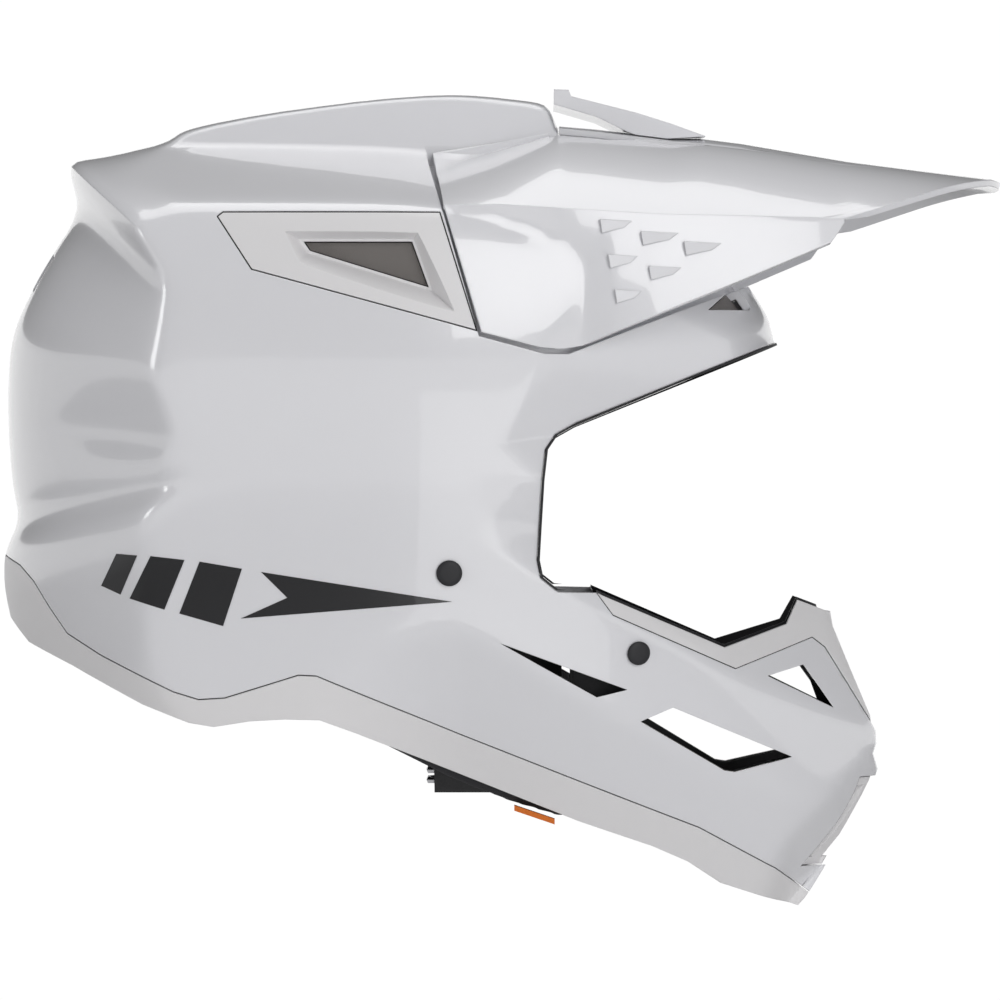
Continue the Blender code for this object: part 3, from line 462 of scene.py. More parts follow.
# ---------------------------------------------------------------- vents in the shell
SLOT_VENT = [(43.7, -157.0), (79.3, -177.1), (90.6, -174.4)]
SIDE_VENT = [(95.5, -186.2), (107.6, -181.1), (152.7, -200.3), (131.0, -205.6), (127.1, -205.0)]
FRONT_VENT = [(143.3, -170.0), (157.4, -166.1), (168.9, -182.4)]
PANEL = [(-60.1, -0.6), (-57.8, 1.2), (21.8, 1.2), (35.5, -42.9), (-47.2, -20.4)]
PANEL_WINDOW = [(-28.3, -9.8), (11.5, -9.8), (17.6, -26.6), (-26.0, -13.2)]
BROW_VENT = [(121.0, -33.9), (133.1, -23.0), (139.5, -28.3), (137.2, -33.4)]


# ---------------------------------------------------------------- simple solids
def box(name, low, high):
    (x0, y0, z0), (x1, y1, z1) = low, high
    return prism(name, [(x0, z0), (x1, z0), (x1, z1), (x0, z1)], y0, y1)


def plan_prism(name, outline, z0, z1):
    """An outline in the plan view (X, Y), in mm, extruded along Z."""
    obj = prism(name, outline, z0, z1)
    obj.data.transform(Matrix(((1, 0, 0, 0), (0, 0, 1, 0), (0, 1, 0, 0), (0, 0, 0, 1))))
    obj.data.flip_normals()
    return obj


def front_prism(name, outline, x0, x1):
    """An outline in the front view (Y, Z), in mm, extruded along X."""
    obj = prism(name, outline, x0, x1)
    obj.data.transform(Matrix(((0, 1, 0, 0), (1, 0, 0, 0), (0, 0, 1, 0), (0, 0, 0, 1))))
    obj.data.flip_normals()
    return obj


def head_solid(name, grow, bottom, turns=120, rows=30):
    """The space of a head: half an ellipsoid over a straight oval column, larger by grow."""
    a, b, c = HEAD_LENGTH / 2 + grow, HEAD_WIDTH / 2 + grow, HEAD_HEIGHT + grow
    rings = [(math.cos(t), math.sin(t)) for t in np.linspace(0, math.pi / 2, rows + 1)[:-1]]
    rings = [(1.0, None)] + rings
    verts, faces = [], []
    for share, rise in rings:
        z = bottom if rise is None else -HEAD_HEIGHT + c * rise
        for k in range(turns):
            t = 2 * math.pi * k / turns
            verts.append(((HEAD_X + a * share * math.cos(t)) * MM, b * share * math.sin(t) * MM, z * MM))
    verts.append((HEAD_X * MM, 0, (c - HEAD_HEIGHT) * MM))
    last = len(rings) - 1
    for j in range(last):
        for k in range(turns):
            n = (k + 1) % turns
            faces.append((j * turns + k, j * turns + n, (j + 1) * turns + n, (j + 1) * turns + k))
    faces += [(last * turns + k, last * turns + (k + 1) % turns, len(verts) - 1) for k in range(turns)]
    faces.append(tuple(range(turns))[::-1])
    return new_object(name, verts, faces)


def lathe(name, profile, at, axis, turns=48):
    """A closed turned solid: profile is (radius, height) in mm from the axis bottom to its top."""
    verts, faces = [], []
    for r, h in profile:
        for k in range(turns):
            t = 2 * math.pi * k / turns
            verts.append((r * math.cos(t) * MM, r * math.sin(t) * MM, h * MM))
    for j in range(len(profile) - 1):
        for k in range(turns):
            n = (k + 1) % turns
            faces.append((j * turns + k, j * turns + n, (j + 1) * turns + n, (j + 1) * turns + k))
    faces += [tuple(range(turns))[::-1], tuple(range((len(profile) - 1) * turns, len(profile) * turns))]
    obj = new_object(name, verts, faces)
    turn = Vector(axis).normalized().to_track_quat("Z", "Y").to_matrix().to_4x4()
    obj.data.transform(Matrix.Translation(Vector(at) * MM) @ turn)
    return obj


def surface_point(x, z, side, inset=0.0):
    """A point on the body surface and its outward normal."""
    h = 0.5
    y = float(surface_y(np.array(x), np.array(z), inset))
    around_x, around_z = np.array([x + h, x - h, x, x]), np.array([z, z, z + h, z - h])
    ahead, behind, over, under = surface_y(around_x, around_z)
    slope_x, slope_z = float(ahead - behind) / (2 * h), float(over - under) / (2 * h)
    return (x, side * y, z), Vector((-slope_x, side, -slope_z)).normalized()


def ribbon(name, path, width, thick, x_centre):
    """A strap of webbing: a path in the front view (Y, Z), given thickness and width along X."""
    p = [Vector(q) for q in path]
    left, right = [], []
    for i, q in enumerate(p):
        before = (q - p[i - 1]).normalized() if i else (p[1] - q).normalized()
        after = (p[i + 1] - q).normalized() if i < len(p) - 1 else before
        along = (before + after).normalized()
        across = Vector((-along.y, along.x)) * (thick / 2) / max(0.5, along.dot(before))
        left.append(tuple(q + across))
        right.append(tuple(q - across))
    outline = left + right[::-1]
    return front_prism(name, outline, x_centre - width / 2, x_centre + width / 2)


def soften(obj, cell, rounds):
    """Rounds a pad's edges: a fine even skin, smoothed."""
    skin = obj.modifiers.new("skin", "REMESH")
    skin.mode = "VOXEL"
    skin.voxel_size = cell * MM
    round_off = obj.modifiers.new("round", "SMOOTH")
    round_off.factor = 0.5
    round_off.iterations = rounds
    graph = bpy.context.evaluated_depsgraph_get()
    mesh = bpy.data.meshes.new_from_object(obj.evaluated_get(graph))
    obj.modifiers.clear()
    obj.data = mesh
    return obj


def inner_band(name, inset, thickness, outline, turns=360, rings=80):
    """A skin of the body between two insets, kept inside a side-view outline."""
    band = keep_inside(body_solid(name, inset, turns, rings), prism("keep", outline))
    return cut(band, body_solid("hollow", inset + thickness, turns, rings))


# ---------------------------------------------------------------- head and liners
HEAD_LENGTH, HEAD_WIDTH, HEAD_HEIGHT = 198.0, 158.0, 88.0
HEAD_X = -6.0
PAD_PLAN = [
    (-60, 66), (-60, 98.5), (-20, 96.5), (0, 92.5), (45, 73.5), (70, 64.5), (70, 59), (45, 60),
    (0, 61), (-40, 63),
]
PAD_SIDE = [
    (-60, -124), (50, -124), (54, -137), (66, -146), (70, -224), (45, -216), (24, -207), (-8, -190),
    (-35, -181), (-60, -183),
]
LINER_REGION = [(-FAR, -150), (-100, -150), (-66, -178), (-40, -176), (-20, -176), (55, -206), (55, -120),
                (57.5, -96), (60, -82), (72, -73.5), (146, -44.5), (FAR, 58), (FAR, FAR), (-FAR, FAR)]
NECK_REGION = [
    (-FAR, -151), (-99, -151), (-64.5, -179.5), (-66, -184.5), (-88, -177.8), (-115, -164),
    (-133, -156), (-FAR, -156),
]
MOUTH = [(-18, -209), (18, -209), (14, -243), (-14, -243)]
EXHAUST = [(4, -10), (24, -13), (21, -26), (6, -24)]
MOUTH_X = 135.0
CAPS = {"cheek_cap": ((25.1, -131.2), 4.75), "chin_cap": ((94.5, -160.8), 4.4)}
VISOR_SINK = 4.6
RIDGE_KEPT, VISOR_REAR = 40.0, 66.0
SHELL_GRID = ((360, 90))      # turns and rings of the shell's faces


def grown(outline, by):
    """A convex outline moved outwards by a distance."""
    centre = Vector((sum(p[0] for p in outline) / len(outline), sum(p[1] for p in outline) / len(outline)))
    result, n = [], len(outline)
    for i in range(n):
        a, b, c = (Vector(outline[k % n]) for k in (i - 1, i, i + 1))
        n1 = Vector(((b - a).y, -(b - a).x)).normalized()
        n2 = Vector(((c - b).y, -(c - b).x)).normalized()
        n1 = n1 if n1.dot(b - centre) > 0 else -n1
        n2 = n2 if n2.dot(b - centre) > 0 else -n2
        bisector = (n1 + n2).normalized()
        result.append(tuple(b + bisector * by / max(0.35, bisector.dot(n1))))
    return result


def recessed_body(name, inset, extra=0.0):
    """The body with the visor's area lowered; the crown ridge behind the visor keeps its height."""
    area = prism("area", grown(VISOR_AREA, inset))
    half = RIDGE_KEPT - inset
    cut(area, box("ridge", (-40, -half, -90), (VISOR_REAR - 0.5 - inset, half, 90)))
    cut(area, body_solid("floor", inset + VISOR_SINK + extra, *SHELL_GRID))
    return cut(body_solid(name, inset, *SHELL_GRID), area)


def side_prism(name, outline, side, inner=50.0):
    return prism(name, outline, *((inner, FAR) if side > 0 else (-FAR, -inner)))


def make_outer_shell():
    shell = recessed_body("shell", 0)
    cut(shell, prism("lower", below(SEAM)), prism("eyes", eyeport_outline(1.2)))
    cut(shell, recessed_body("hollow", SHELL))
    for side in (1, -1):
        cut(shell, side_prism("panel", PANEL, side), side_prism("slot", SLOT_VENT, side))
        cut(shell, side_prism("vent", SIDE_VENT, side, 30), side_prism("front", FRONT_VENT, side, 18))
        cut(shell, side_prism("brow", BROW_VENT, side, 34))
        cut(shell, front_prism("exhaust", [(side * y, z) for y, z in EXHAUST], -FAR, -80))
        for (x, z), radius in CAPS.values():
            at, normal = surface_point(x, z, side)
            cut(shell, lathe("hole", [(radius - 1.4, -8), (radius - 1.4, 8)], at, normal, 48))
    cut(shell, front_prism("mouth", MOUTH, MOUTH_X, FAR))
    keep_largest(shell)
    return finish(shell, "outer_shell", GLOSS_WHITE)


def make_base_trim():
    outline = [(-FAR, SEAM[0][1] - GAP), *offset_line(SEAM, 0, -GAP), (FAR, SEAM[-1][1] - GAP)]
    outline += [(FAR, RIM[-1][1]), *RIM[::-1], (-FAR, RIM[0][1])]
    trim = inner_band("trim", 0, TRIM_THICK, outline, *SHELL_GRID)
    return finish(trim, "base_trim", SATIN_WHITE)


def make_chin_trim():
    outline = [*TRIM_TOP, (200, -150), (200, -195.0), *offset_line(TRIM_SEAM[::-1], 0.1, 0.3)]
    trim = inner_band("trim", 0, 4, outline, 100, 20)
    return finish(trim, "chin_upper_trim", SATIN_WHITE)


def make_nose_guard():
    top = offset_line(TRIM_TOP, 0, 1.0)
    outline = [*top, (176, -146), (176, -158), (150, -158), (127, -168), (84, -150)]
    guard = keep_largest(inner_band("guard", 5.2, 2.2, outline, 360, 70))
    return finish(guard, "nose_guard", BLACK_RUBBER)


def make_gasket():
    upper = [(0, -137.5), (78, -137.5), (140, -60), (FAR, 60), (FAR, FAR), (0, FAR)]
    gasket = keep_inside(body_solid("gasket", -0.6, 360, 90), prism("around", eyeport_outline(1.0)))
    keep_inside(gasket, prism("upper", upper))
    cut(gasket, prism("eyes", eyeport_outline(0)), body_solid("hollow", 4.4, 240, 60))
    return finish(gasket, "eyeport_gasket", BLACK_RUBBER)


def make_impact_liner():
    liner = recessed_body("liner", TRIM_THICK + 2, 1.5)
    keep_inside(liner, prism("region", LINER_REGION))
    cut(liner, head_solid("head", LINER, -300))
    for side in (1, -1):
        plan = [(x, side * y) for x, y in grown(PAD_PLAN, 0.8)]
        cut(liner, plan_prism("pad", plan, -300, -123))
        cut(liner, side_prism("panel", grown(PANEL, 1.2), side, 84))
        cut(liner, front_prism("exhaust", [(side * y, z) for y, z in EXHAUST], -FAR, -100))
        cut(liner, side_prism("brow", grown(BROW_VENT, 0.5), side, 30))
    return finish(liner, "impact_liner", FOAM)


def make_chin_liner():
    outline = [(71.0, -148.0), (84, -151.5), (127, -170), (152, -160), (200, -160), (200, -206), (160, -248),
               (146, -250), (127, -243), (101, -228), (71.0, -217)]
    liner = inner_band("liner", 8.2, 12, outline, 240, 60)
    for side in (1, -1):
        cut(liner, side_prism("vent", SIDE_VENT, side, 5), side_prism("front", FRONT_VENT, side, 5))
    cut(liner, front_prism("mouth", grown(MOUTH, 1.0), 120, FAR))
    return finish(liner, "chin_impact_liner", FOAM)


def make_crown_liner():
    """The comfort liner, with channels that part it into pads."""
    liner = head_solid("liner", LINER - 0.5, -96)
    cut(liner, head_solid("head", 0, -300))
    brow = [(50, -300), (50, -88), (62, -79), (73, -70), (146, -42), (FAR, 60), (FAR, -300)]
    cut(liner, prism("brow", brow))
    floor = head_solid("floor", LINER - 3.0, -300)
    lines = box("channel", (-130, -2.5, -60), (120, 2.5, 40))
    for x in (-62.0, -6.0, 44.0):
        join(lines, box("channel", (x - 2.5, -120, -90), (x + 2.5, 120, 40)))
    cut(liner, keep_inside(lines, floor))
    soften(liner, 1.6, 6)
    return finish(liner, "crown_liner", FABRIC, 60)


def make_neck_roll():
    roll = body_solid("roll", 6.4, 200, 50)
    keep_inside(roll, prism("region", NECK_REGION))
    ahead = [(-64, -FAR), (FAR, -FAR), (FAR, FAR), (-64, FAR)]
    cut(roll, head_solid("head", 2, -300), prism("front", ahead))
    soften(roll, 1.8, 8)
    return finish(roll, "neck_roll", FABRIC, 60)


def make_cheek_pads():
    def pad(side, label):
        plan = [(x, side * y) for x, y in PAD_PLAN]
        solid = plan_prism("pad", plan, -300, 0)
        keep_inside(solid, prism("side", PAD_SIDE))
        keep_inside(solid, body_solid("inside", TRIM_THICK + 1, 160, 40))
        soften(solid, 2.0, 14)
        return finish(solid, f"cheek_pad_{label}", FABRIC, 60)
    return both_sides(pad)


TAB = {"x": (49.0, 64.0), "y": (62.5, 71.0)}


def make_release_tabs():
    def tab(side, label):
        x0, x1 = TAB["x"]
        low, high = sorted((side * TAB["y"][0], side * TAB["y"][1]))
        outline = [(x0, -217.8), (x1, -222.9), (x1, -224.9), (x0, -219.8)]
        strip = prism("tab", outline, low, high)
        return finish(strip, f"release_tab_{label}", ORANGE)
    return both_sides(tab)


def make_vent_panels():
    def panel(side, label):
        solid = body_solid("panel", 0.1, 300, 80)
        keep_inside(solid, side_prism("outline", grown(PANEL, -0.45), side, 60))
        cut(solid, body_solid("back", 11, 120, 40))
        cut(solid, side_prism("window", PANEL_WINDOW, side))
        taper = []
        for outline, y in ((grown(PANEL_WINDOW, 1.0), 108.0), (grown(PANEL_WINDOW, 9.0), 123.0)):
            taper += [(x * MM, side * y * MM, z * MM) for x, z in outline]
        n = len(PANEL_WINDOW)
        faces = [tuple(range(n)), tuple(range(2 * n - 1, n - 1, -1))]
        faces += [(i, n + i, n + (i + 1) % n, (i + 1) % n) for i in range(n)]
        well = new_object("well", taper, faces)
        mesh = bmesh.new()
        mesh.from_mesh(well.data)
        bmesh.ops.recalc_face_normals(mesh, faces=mesh.faces)
        mesh.to_mesh(well.data)
        mesh.free()
        cut(solid, well)
        return finish(solid, f"side_vent_panel_{label}", SATIN_WHITE)
    return both_sides(panel)


def plate_in(name, outline, side, y0, y1, look):
    low, high = sorted((side * y0, side * y1))
    return finish(prism(name, outline, low, high), name, look)


def make_vent_meshes():
    for side, label in ((1, "left"), (-1, "right")):
        plate_in(f"side_vent_mesh_{label}", grown(PANEL_WINDOW, -0.4), side, 104.6, 105.6, MESH_GREY)
        brow = body_solid("brow", 4.5, 240, 60)
        keep_inside(brow, side_prism("outline", grown(BROW_VENT, -0.3), side, 34.6))
        cut(brow, body_solid("back", 6.0, 240, 60))
        finish(brow, f"brow_vent_mesh_{label}", MESH_GREY)
        exhaust = body_solid("exhaust", SHELL + 1.0, 240, 60)
        inner = [(side * y, z) for y, z in grown(EXHAUST, -0.4)]
        keep_inside(exhaust, front_prism("outline", inner, -FAR, -101))
        cut(exhaust, body_solid("back", SHELL + 2.6, 240, 60))
        finish(exhaust, f"exhaust_mesh_{label}", MESH_GREY)


def make_mouth():
    foam = inner_band("foam", 8, 8, [(120, -200), (FAR, -200), (FAR, -250), (120, -250)], 240, 60)
    keep_inside(foam, front_prism("outline", MOUTH, 120, FAR))
    finish(foam, "mouth_filter", FOAM)
    grille = inner_band("grille", 1.5, 3.0, [(120, -200), (FAR, -200), (FAR, -250), (120, -250)], 240, 60)
    keep_inside(grille, front_prism("outline", grown(MOUTH, -0.4), 120, FAR))
    for y in (-10.2, 0, 10.2):
        bars = [(y - 3.4, -212.5), (y + 3.4, -212.5), (y + 2.0, -239.5), (y - 2.0, -239.5)]
        cut(grille, front_prism("slot", bars, 120, FAR))
    finish(grille, "mouth_grille", SATIN_WHITE)


def make_caps():
    for name, ((x, z), radius) in CAPS.items():
        for side, label in ((1, "left"), (-1, "right")):
            at, normal = surface_point(x, z, side)
            stem = radius - 1.8
            profile = [(stem, -4), (stem, 0.5), (radius, 0.5), (radius, 1.0)]
            profile += [(radius - 0.6, 1.5), (radius - 2, 1.7)]
            finish(lathe("cap", profile, at, normal, 48), f"{name}_{label}", BLACK_RUBBER)


STRAP_X, STRAP_WIDTH, STRAP_THICK = 30.0, 22.0, 2.0
BAR_Y, ARC_Y = -18.0, 4.0
RING_A_Z, RING_B_Z = -206.4, -210.2
LEFT_STRAP = [
    (75.4, -113), (60, -115), (56.5, -119), (56, -176), (51, -188), (40, -197), (14, -201.6),
    (-2, -203), (-6, -205.5), (-6.5, -208.3), (-5, -211.5), (-1, -213.3), (14, -213), (34, -208.5),
    (46, -203.5),
]
RIGHT_STRAP = [
    (-75.4, -113), (-60, -115), (-56.5, -119), (-56, -176), (-51, -188), (-42, -198), (-22, -203.2),
    (-17, -203.4), (-14.4, -205.5), (-14.2, -211), (-17, -213.6), (-22, -213.8), (-36, -207.0),
    (-43, -201.6),
]


def make_straps():
    finish(ribbon("strap", LEFT_STRAP, STRAP_WIDTH, STRAP_THICK, STRAP_X), "chin_strap_left", WEBBING)
    finish(ribbon("strap", RIGHT_STRAP, STRAP_WIDTH, STRAP_THICK, STRAP_X), "chin_strap_right", WEBBING)
    for name, z in (("d_ring_upper", RING_A_Z), ("d_ring_lower", RING_B_Z)):
        half = 13.0
        arc = [(half, ARC_Y - 7), (half * 0.6, ARC_Y - 0.6), (0, ARC_Y)]
        points = [(-half, BAR_Y), (half, BAR_Y), *arc] + [(-x, y) for x, y in arc[1::-1]]
        curve = bpy.data.curves.new(name, "CURVE")
        curve.dimensions, curve.bevel_depth, curve.bevel_resolution = "3D", 1.4 * MM, 1
        spline = curve.splines.new("POLY")
        spline.points.add(len(points) - 1)
        for p, (x, y) in zip(spline.points, points):
            p.co = ((STRAP_X + x) * MM, y * MM, z * MM, 1)
        spline.use_cyclic_u = True
        ring = bpy.data.objects.new(name, curve)
        bpy.context.scene.collection.objects.link(ring)
        graph = bpy.context.evaluated_depsgraph_get()
        mesh = bpy.data.meshes.new_from_object(ring.evaluated_get(graph))
        bpy.data.objects.remove(ring, do_unlink=True)
        solid = bpy.data.objects.new(name, mesh)
        bpy.context.scene.collection.objects.link(solid)
        finish(solid, name, STEEL)
    for side, label in ((1, "left"), (-1, "right")):
        y0, y1 = sorted((side * 76.0, side * 78.2))
        anchor = box("anchor", (STRAP_X - 12, y0, -122), (STRAP_X + 11, y1, -100))
        finish(anchor, f"strap_anchor_{label}", STEEL)
    snap_at, snap_down = (STRAP_X, 40.6, -207.4), (0, 0.385, -0.923)
    finish(lathe("snap", [(5, 0), (5, 1.2), (3.5, 2.0)], snap_at, snap_down, 48), "strap_snap", STEEL)


# ---------------------------------------------------------------- visor
VISOR_TIP, VISOR_CORNER = 233.3, 170.7
VISOR_THICK = 2.4
VISOR_PROUD = 0.6
VISOR_CENTRE = [
    (10, 20), (40, 28), (66, 36.6), (80, 35.4), (108, 32.0), (120, 31.9), (135, 30), (175, 23.2),
    (228, 16.3), (233.3, 14.4),
]
VISOR_CREASE = [(10, 3.2), (44, 3.7), (102, 0.3), (170.7, -0.8), (200, 3), (233.3, 9)]
VISOR_WIDTH = [(10, 108), (40, 106), (66, 104), (100, 99.5), (135, 94), (170.7, 86), (233.3, 83)]
VISOR_BOTTOM = [
    (36.4, -43.1), (58.0, -48.6), (66, -49.3), (74.0, -48.0), (84, -43.7), (135.5, -22.6),
    (165.8, -9.7), (170.7, -2.5),
]


def along(line, x):
    return float(np.interp(x, [p[0] for p in line], [p[1] for p in line]))


def visor_front(v):
    return VISOR_CORNER + (VISOR_TIP - VISOR_CORNER) * (1 - v**2.6) ** 0.7


def visor_rear(v):
    """Rear edge of the top in plan: on the ridge foot near the middle, on the seam at the side."""
    return float(np.interp(v, [0, 0.36, 0.385, 1], [VISOR_REAR, VISOR_REAR, 18.5, 23.0]))


def visor_top(x, v):
    drop = abs(v) ** 2.3
    centre, crease = along(VISOR_CENTRE, x), along(VISOR_CREASE, x)
    return centre - (centre - crease) * drop


def visor_side(x, z):
    """Half-width of the visor's side below its crease."""
    width = along(VISOR_WIDTH, x)
    drop = along(VISOR_CREASE, x) - z
    lean = float(np.interp(x, [20, 70, 165], [0.17, 0.13, 0.35]))
    body = float(surface_y(np.array(min(x, 75.0)), np.array(z)))
    near = np.clip((85 - x) / 30, 0, 1)
    return (1 - near) * (width + lean * drop) + near * max(width, body)


def body_top(x, y):
    """Height of the body's upper surface at a point in plan."""
    heights = np.linspace(along(SHOULDER, x) - 4, 52, 70)
    widths = np.minimum.accumulate(surface_y(np.full(70, float(x)), heights))
    return float(np.interp(-abs(y), -widths, heights))


VISOR_GRID = {}


def visor_sheet(lift, rows=80, top=36, side=14):
    """Rows of points from the left lower edge over the top to the right one, lifted by lift mm."""
    if VISOR_GRID:
        return VISOR_GRID["points"] + VISOR_GRID["normal"] * lift
    grid = []
    for i in range(rows + 1):
        s = i / rows
        half = []
        for j in range(top + 1):
            v = j / top
            x = visor_rear(v) + s * (visor_front(v) - visor_rear(v))
            y = v * visor_side(x, along(VISOR_CREASE, x))
            lie = body_top(x, y) if x < 80 and 0 < j < top else -100
            half.append((x, y, max(visor_top(x, v), lie)))
        for j in range(1, side + 1):
            t = j / side
            x_low = 36.9 + s * (VISOR_CORNER - 36.9)
            x_top = visor_rear(1) + s * (VISOR_CORNER - visor_rear(1))
            x = x_top + t * (x_low - x_top)
            z_top = along(VISOR_CREASE, x)
            z = z_top + t * (min(along(VISOR_BOTTOM, x_low), z_top - 1.5) - z_top)
            half.append((x, visor_side(x, z), z))
        grid.append([(x, -y, z) for x, y, z in half[:0:-1]] + half)
    points = np.array(grid)
    across = np.gradient(points, axis=1)
    ahead = np.gradient(points, axis=0)
    normal = np.cross(ahead, across)
    normal /= np.linalg.norm(normal, axis=2, keepdims=True) + 1e-9
    VISOR_GRID["points"], VISOR_GRID["normal"] = points, normal
    return points + normal * lift


def closed_sheet(name, outer, inner):
    """A thin solid between two grids of the same size."""
    rows, cols = outer.shape[:2]
    verts = np.concatenate([outer.reshape(-1, 3), inner.reshape(-1, 3)]) * MM
    half = rows * cols
    faces = []
    for i in range(rows - 1):
        for j in range(cols - 1):
            a, b, c, d = i * cols + j, i * cols + j + 1, (i + 1) * cols + j + 1, (i + 1) * cols + j
            faces += [(a, b, c, d), (half + d, half + c, half + b, half + a)]
    edge = [j for j in range(cols)] + [i * cols + cols - 1 for i in range(1, rows)]
    edge += [(rows - 1) * cols + j for j in range(cols - 2, -1, -1)]
    edge += [i * cols for i in range(rows - 2, 0, -1)]
    faces += [(b, a, half + a, half + b) for a, b in zip(edge, edge[1:] + edge[:1])]
    obj = new_object(name, verts, faces)
    mesh = bmesh.new()
    mesh.from_mesh(obj.data)
    bmesh.ops.recalc_face_normals(mesh, faces=mesh.faces)
    mesh.to_mesh(obj.data)
    mesh.free()
    return obj


def make_visor():
    visor = closed_sheet("visor", visor_sheet(VISOR_PROUD), visor_sheet(VISOR_PROUD - VISOR_THICK))
    for side in (1, -1):
        opening = [(62, side * 29), (62, side * 46), (84, side * 45), (109, side * 29.5)]
        cut(visor, plan_prism("opening", opening, 0, 80))
    cut(visor, recessed_body("under", -2 * GAP))
    keep_largest(visor)
    finish(visor, "visor", GLOSS_WHITE, 30)
    outline = [
        (64, 44.5), (64, 50.2), (69.5, 50.0), (70.5, 47.6), (95, 41.4), (108.3, 37.2), (121, 32.6),
        (121, 32.35), (100, 31.2), (92, 34.0), (80, 39.8),
    ]
    bridge = prism("bridge", outline, -27, 27)
    cut(bridge, recessed_body("under", -GAP))
    cut(bridge, closed_sheet("sheet", visor_sheet(VISOR_PROUD + GAP), visor_sheet(-9)))
    keep_largest(bridge)
    return finish(bridge, "visor_bridge", GLOSS_WHITE, 30)


# ---------------------------------------------------------------- details the CAD has no node for
FINS = [                     # upper edge's middle, and length
    (86.3, -1.4, 12), (102.4, -5.8, 14), (118.2, -9.5, 14), (88.8, -14.4, 11),
    (104.3, -18.6, 12), (90.7, -27.3, 10),
]
FIN_RISE = 2.6


def make_fins():
    """Small wedges on the visor's sides, highest at their rear ends."""
    for side, label in ((1, "left"), (-1, "right")):
        for i, (x, z, length) in enumerate(FINS):
            corners = [(x - length / 2, z, FIN_RISE), (x + length / 2, z - 0.6, 0.2),
                       (x + length / 4, z - 3.2, 0.2),
                       (x - length / 2 + 0.8, z - 5.2, FIN_RISE * 0.5)]
            verts = []
            for cx, cz, rise in corners:
                verts.append((cx * MM, side * (visor_side(cx, cz) + VISOR_PROUD + rise) * MM, cz * MM))
            for cx, cz, rise in corners:
                verts.append((cx * MM, side * (visor_side(cx, cz) - 1.0) * MM, cz * MM))
            faces = [(0, 1, 2, 3), (7, 6, 5, 4)]
            faces += [(k, k + 4, (k + 1) % 4 + 4, (k + 1) % 4) for k in range(4)]
            fin = new_object("fin", verts, faces)
            mesh = bmesh.new()
            mesh.from_mesh(fin.data)
            bmesh.ops.recalc_face_normals(mesh, faces=mesh.faces)
            mesh.to_mesh(fin.data)
            mesh.free()
            belong(fin, f"visor_fin_{label}_{i}", "visor_unit", GLOSS_WHITE)


FLASH = {
    "dart": [(-43.5, -130.8), (26.2, -141.7), (-51.0, -147.8), (-34.0, -140.2)],
    "bar_front": [(-66.0, -127.0), (-50.5, -129.6), (-57.5, -150.6), (-73.5, -146.0)],
    "bar_middle": [(-84.0, -125.0), (-71.5, -126.4), (-79.0, -144.6), (-92.0, -140.6)],
    "bar_rear": [(-97.0, -124.2), (-89.0, -124.8), (-95.5, -139.2), (-103.0, -136.0)],
}


def make_flash():
    """A plain dart and three slanted bars on each cheek, as thin inlays."""
    for side, label in ((1, "left"), (-1, "right")):
        for name, outline in FLASH.items():
            inlay = body_solid("inlay", -0.2, *SHELL_GRID)
            keep_inside(inlay, side_prism("outline", outline, side, 60))
            cut(inlay, body_solid("back", 0.3, *SHELL_GRID))
            belong(inlay, f"cheek_flash_{name}_{label}", "helmet", BLACK_GLOSS)


def build():
    make_outer_shell()
    make_base_trim()
    make_chin_trim()
    make_nose_guard()
    make_gasket()
    make_impact_liner()
    make_chin_liner()
    make_crown_liner()
    make_neck_roll()
    make_cheek_pads()
    make_release_tabs()
    make_vent_panels()
    make_vent_meshes()
    make_mouth()
    make_caps()
    make_straps()
    make_visor()
    make_fins()
    make_flash()



build()


# ---------------------------------------------------------------- floor, light and camera
def stage_material():
    made = bpy.data.materials.new("paper")
    made.use_nodes = True
    shader = made.node_tree.nodes["Principled BSDF"]
    shader.inputs["Base Color"].default_value = (0.93, 0.93, 0.935, 1)
    shader.inputs["Roughness"].default_value = 0.9
    return made


# the stage, in metres
FLOOR = -1.0
FLOOR_RADIUS = 7.95           # the floor just reaches the glowing ring
RING_RADIUS = 8.0
RING_FACES = 96
RING_HEIGHTS = (-1.3, 1.1)
RING_GLOW = 1.02
WORLD_STRENGTH = 0.12
MIDDLE = (0.03, 0, -0.1)      # what the lights aim at
LIGHTS = [                    # name, place, size and power
    ("top", (0.1, 0.2, 1.6), 1.5, 15),
    ("key", (1.1, -2.3, 1.1), 1.2, 20),
    ("rear fill", (-2.0, -0.9, 0.5), 0.5, 5),
    ("under", (0.6, -1.4, -0.42), 0.8, 2.5),
]
CAMERA_PLACE = (0.0437, -3.0, -0.1045)
SENSOR = 36                   # millimetres
VIEW_WIDTH = 0.38             # what the picture is wide, at the helmet's middle plane


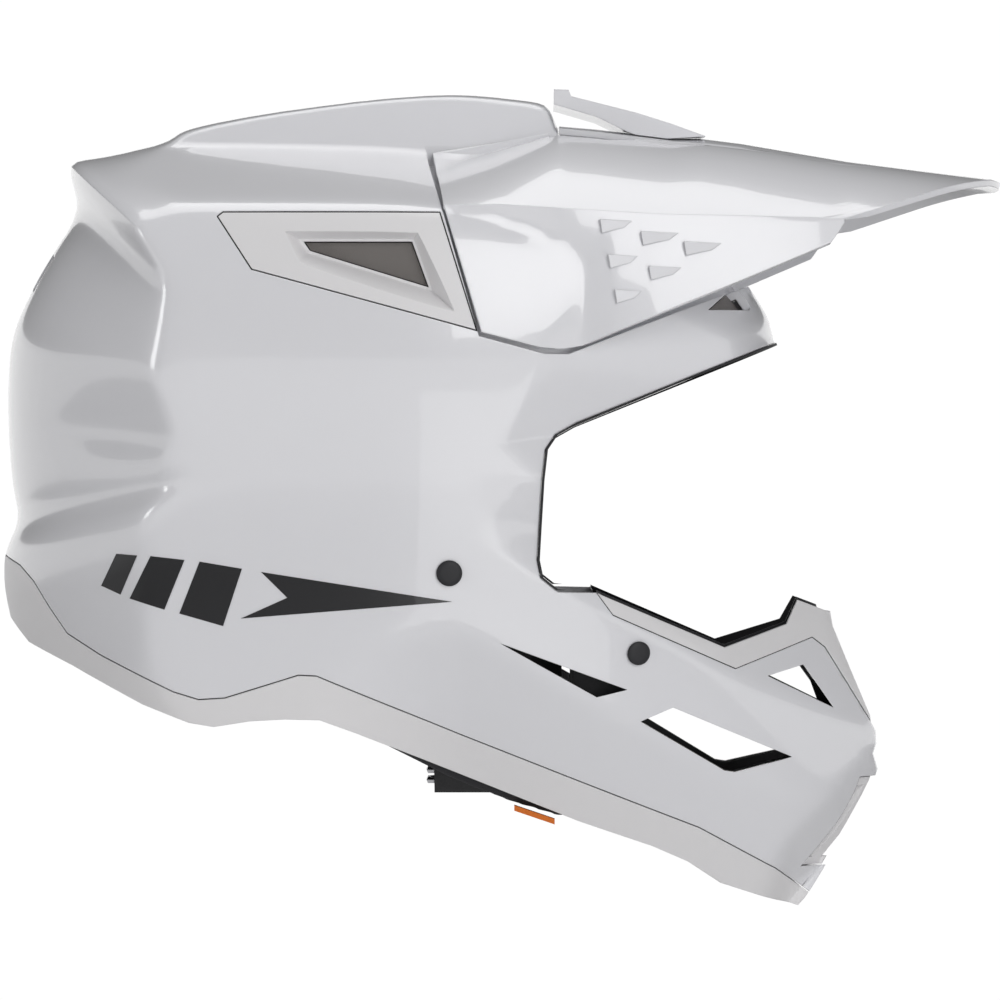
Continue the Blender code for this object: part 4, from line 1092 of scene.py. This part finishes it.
def glow_material(strength):
    made = bpy.data.materials.new("backdrop")
    made.use_nodes = True
    shader = made.node_tree.nodes["Principled BSDF"]
    shader.inputs["Base Color"].default_value = (0, 0, 0, 1)
    shader.inputs["Specular IOR Level"].default_value = 0
    shader.inputs["Emission Color"].default_value = (1, 1, 1, 1)
    shader.inputs["Emission Strength"].default_value = strength
    return made


def make_stage():
    turns = [2 * math.pi * k / RING_FACES for k in range(RING_FACES)]
    disc = [(FLOOR_RADIUS * math.cos(t), FLOOR_RADIUS * math.sin(t), FLOOR) for t in turns]
    floor = new_object("floor", disc, [tuple(range(RING_FACES))])
    floor.data.materials.append(stage_material())
    band = [(RING_RADIUS * math.cos(t), RING_RADIUS * math.sin(t), z)
            for z in RING_HEIGHTS for t in turns]
    around = [(k, (k + 1) % RING_FACES) for k in range(RING_FACES)]
    wall = new_object("backdrop", band, [(i, j, j + RING_FACES, i + RING_FACES) for i, j in around])
    wall.data.materials.append(glow_material(RING_GLOW))


def area_light(name, place, target, size, power):
    light = bpy.data.lights.new(name, "AREA")
    light.energy = power
    light.size = size
    lamp = bpy.data.objects.new(name, light)
    lamp.location = place
    lamp.rotation_mode = "QUATERNION"
    lamp.rotation_quaternion = (Vector(target) - Vector(place)).to_track_quat("-Z", "Y")
    bpy.context.scene.collection.objects.link(lamp)
    return lamp


def make_light():
    world = bpy.data.worlds.new("studio")
    bpy.context.scene.world = world
    world.use_nodes = True
    background = world.node_tree.nodes["Background"]
    background.inputs["Color"].default_value = (1.0, 1.0, 1.0, 1)
    background.inputs["Strength"].default_value = WORLD_STRENGTH
    for name, place, size, power in LIGHTS:
        area_light(name, place, MIDDLE, size, power)


def make_camera():
    """At the object's right side and level with it, three metres away."""
    camera = bpy.data.cameras.new("camera")
    camera.sensor_width = SENSOR
    camera.lens = SENSOR * -CAMERA_PLACE[1] / VIEW_WIDTH
    camera.clip_end = 50
    view = bpy.data.objects.new("camera", camera)
    view.location = CAMERA_PLACE
    view.rotation_euler = (math.radians(90), 0, 0)
    bpy.context.scene.collection.objects.link(view)
    bpy.context.scene.camera = view
    bpy.context.scene.view_settings.view_transform = "Standard"


make_stage()
make_light()
make_camera()
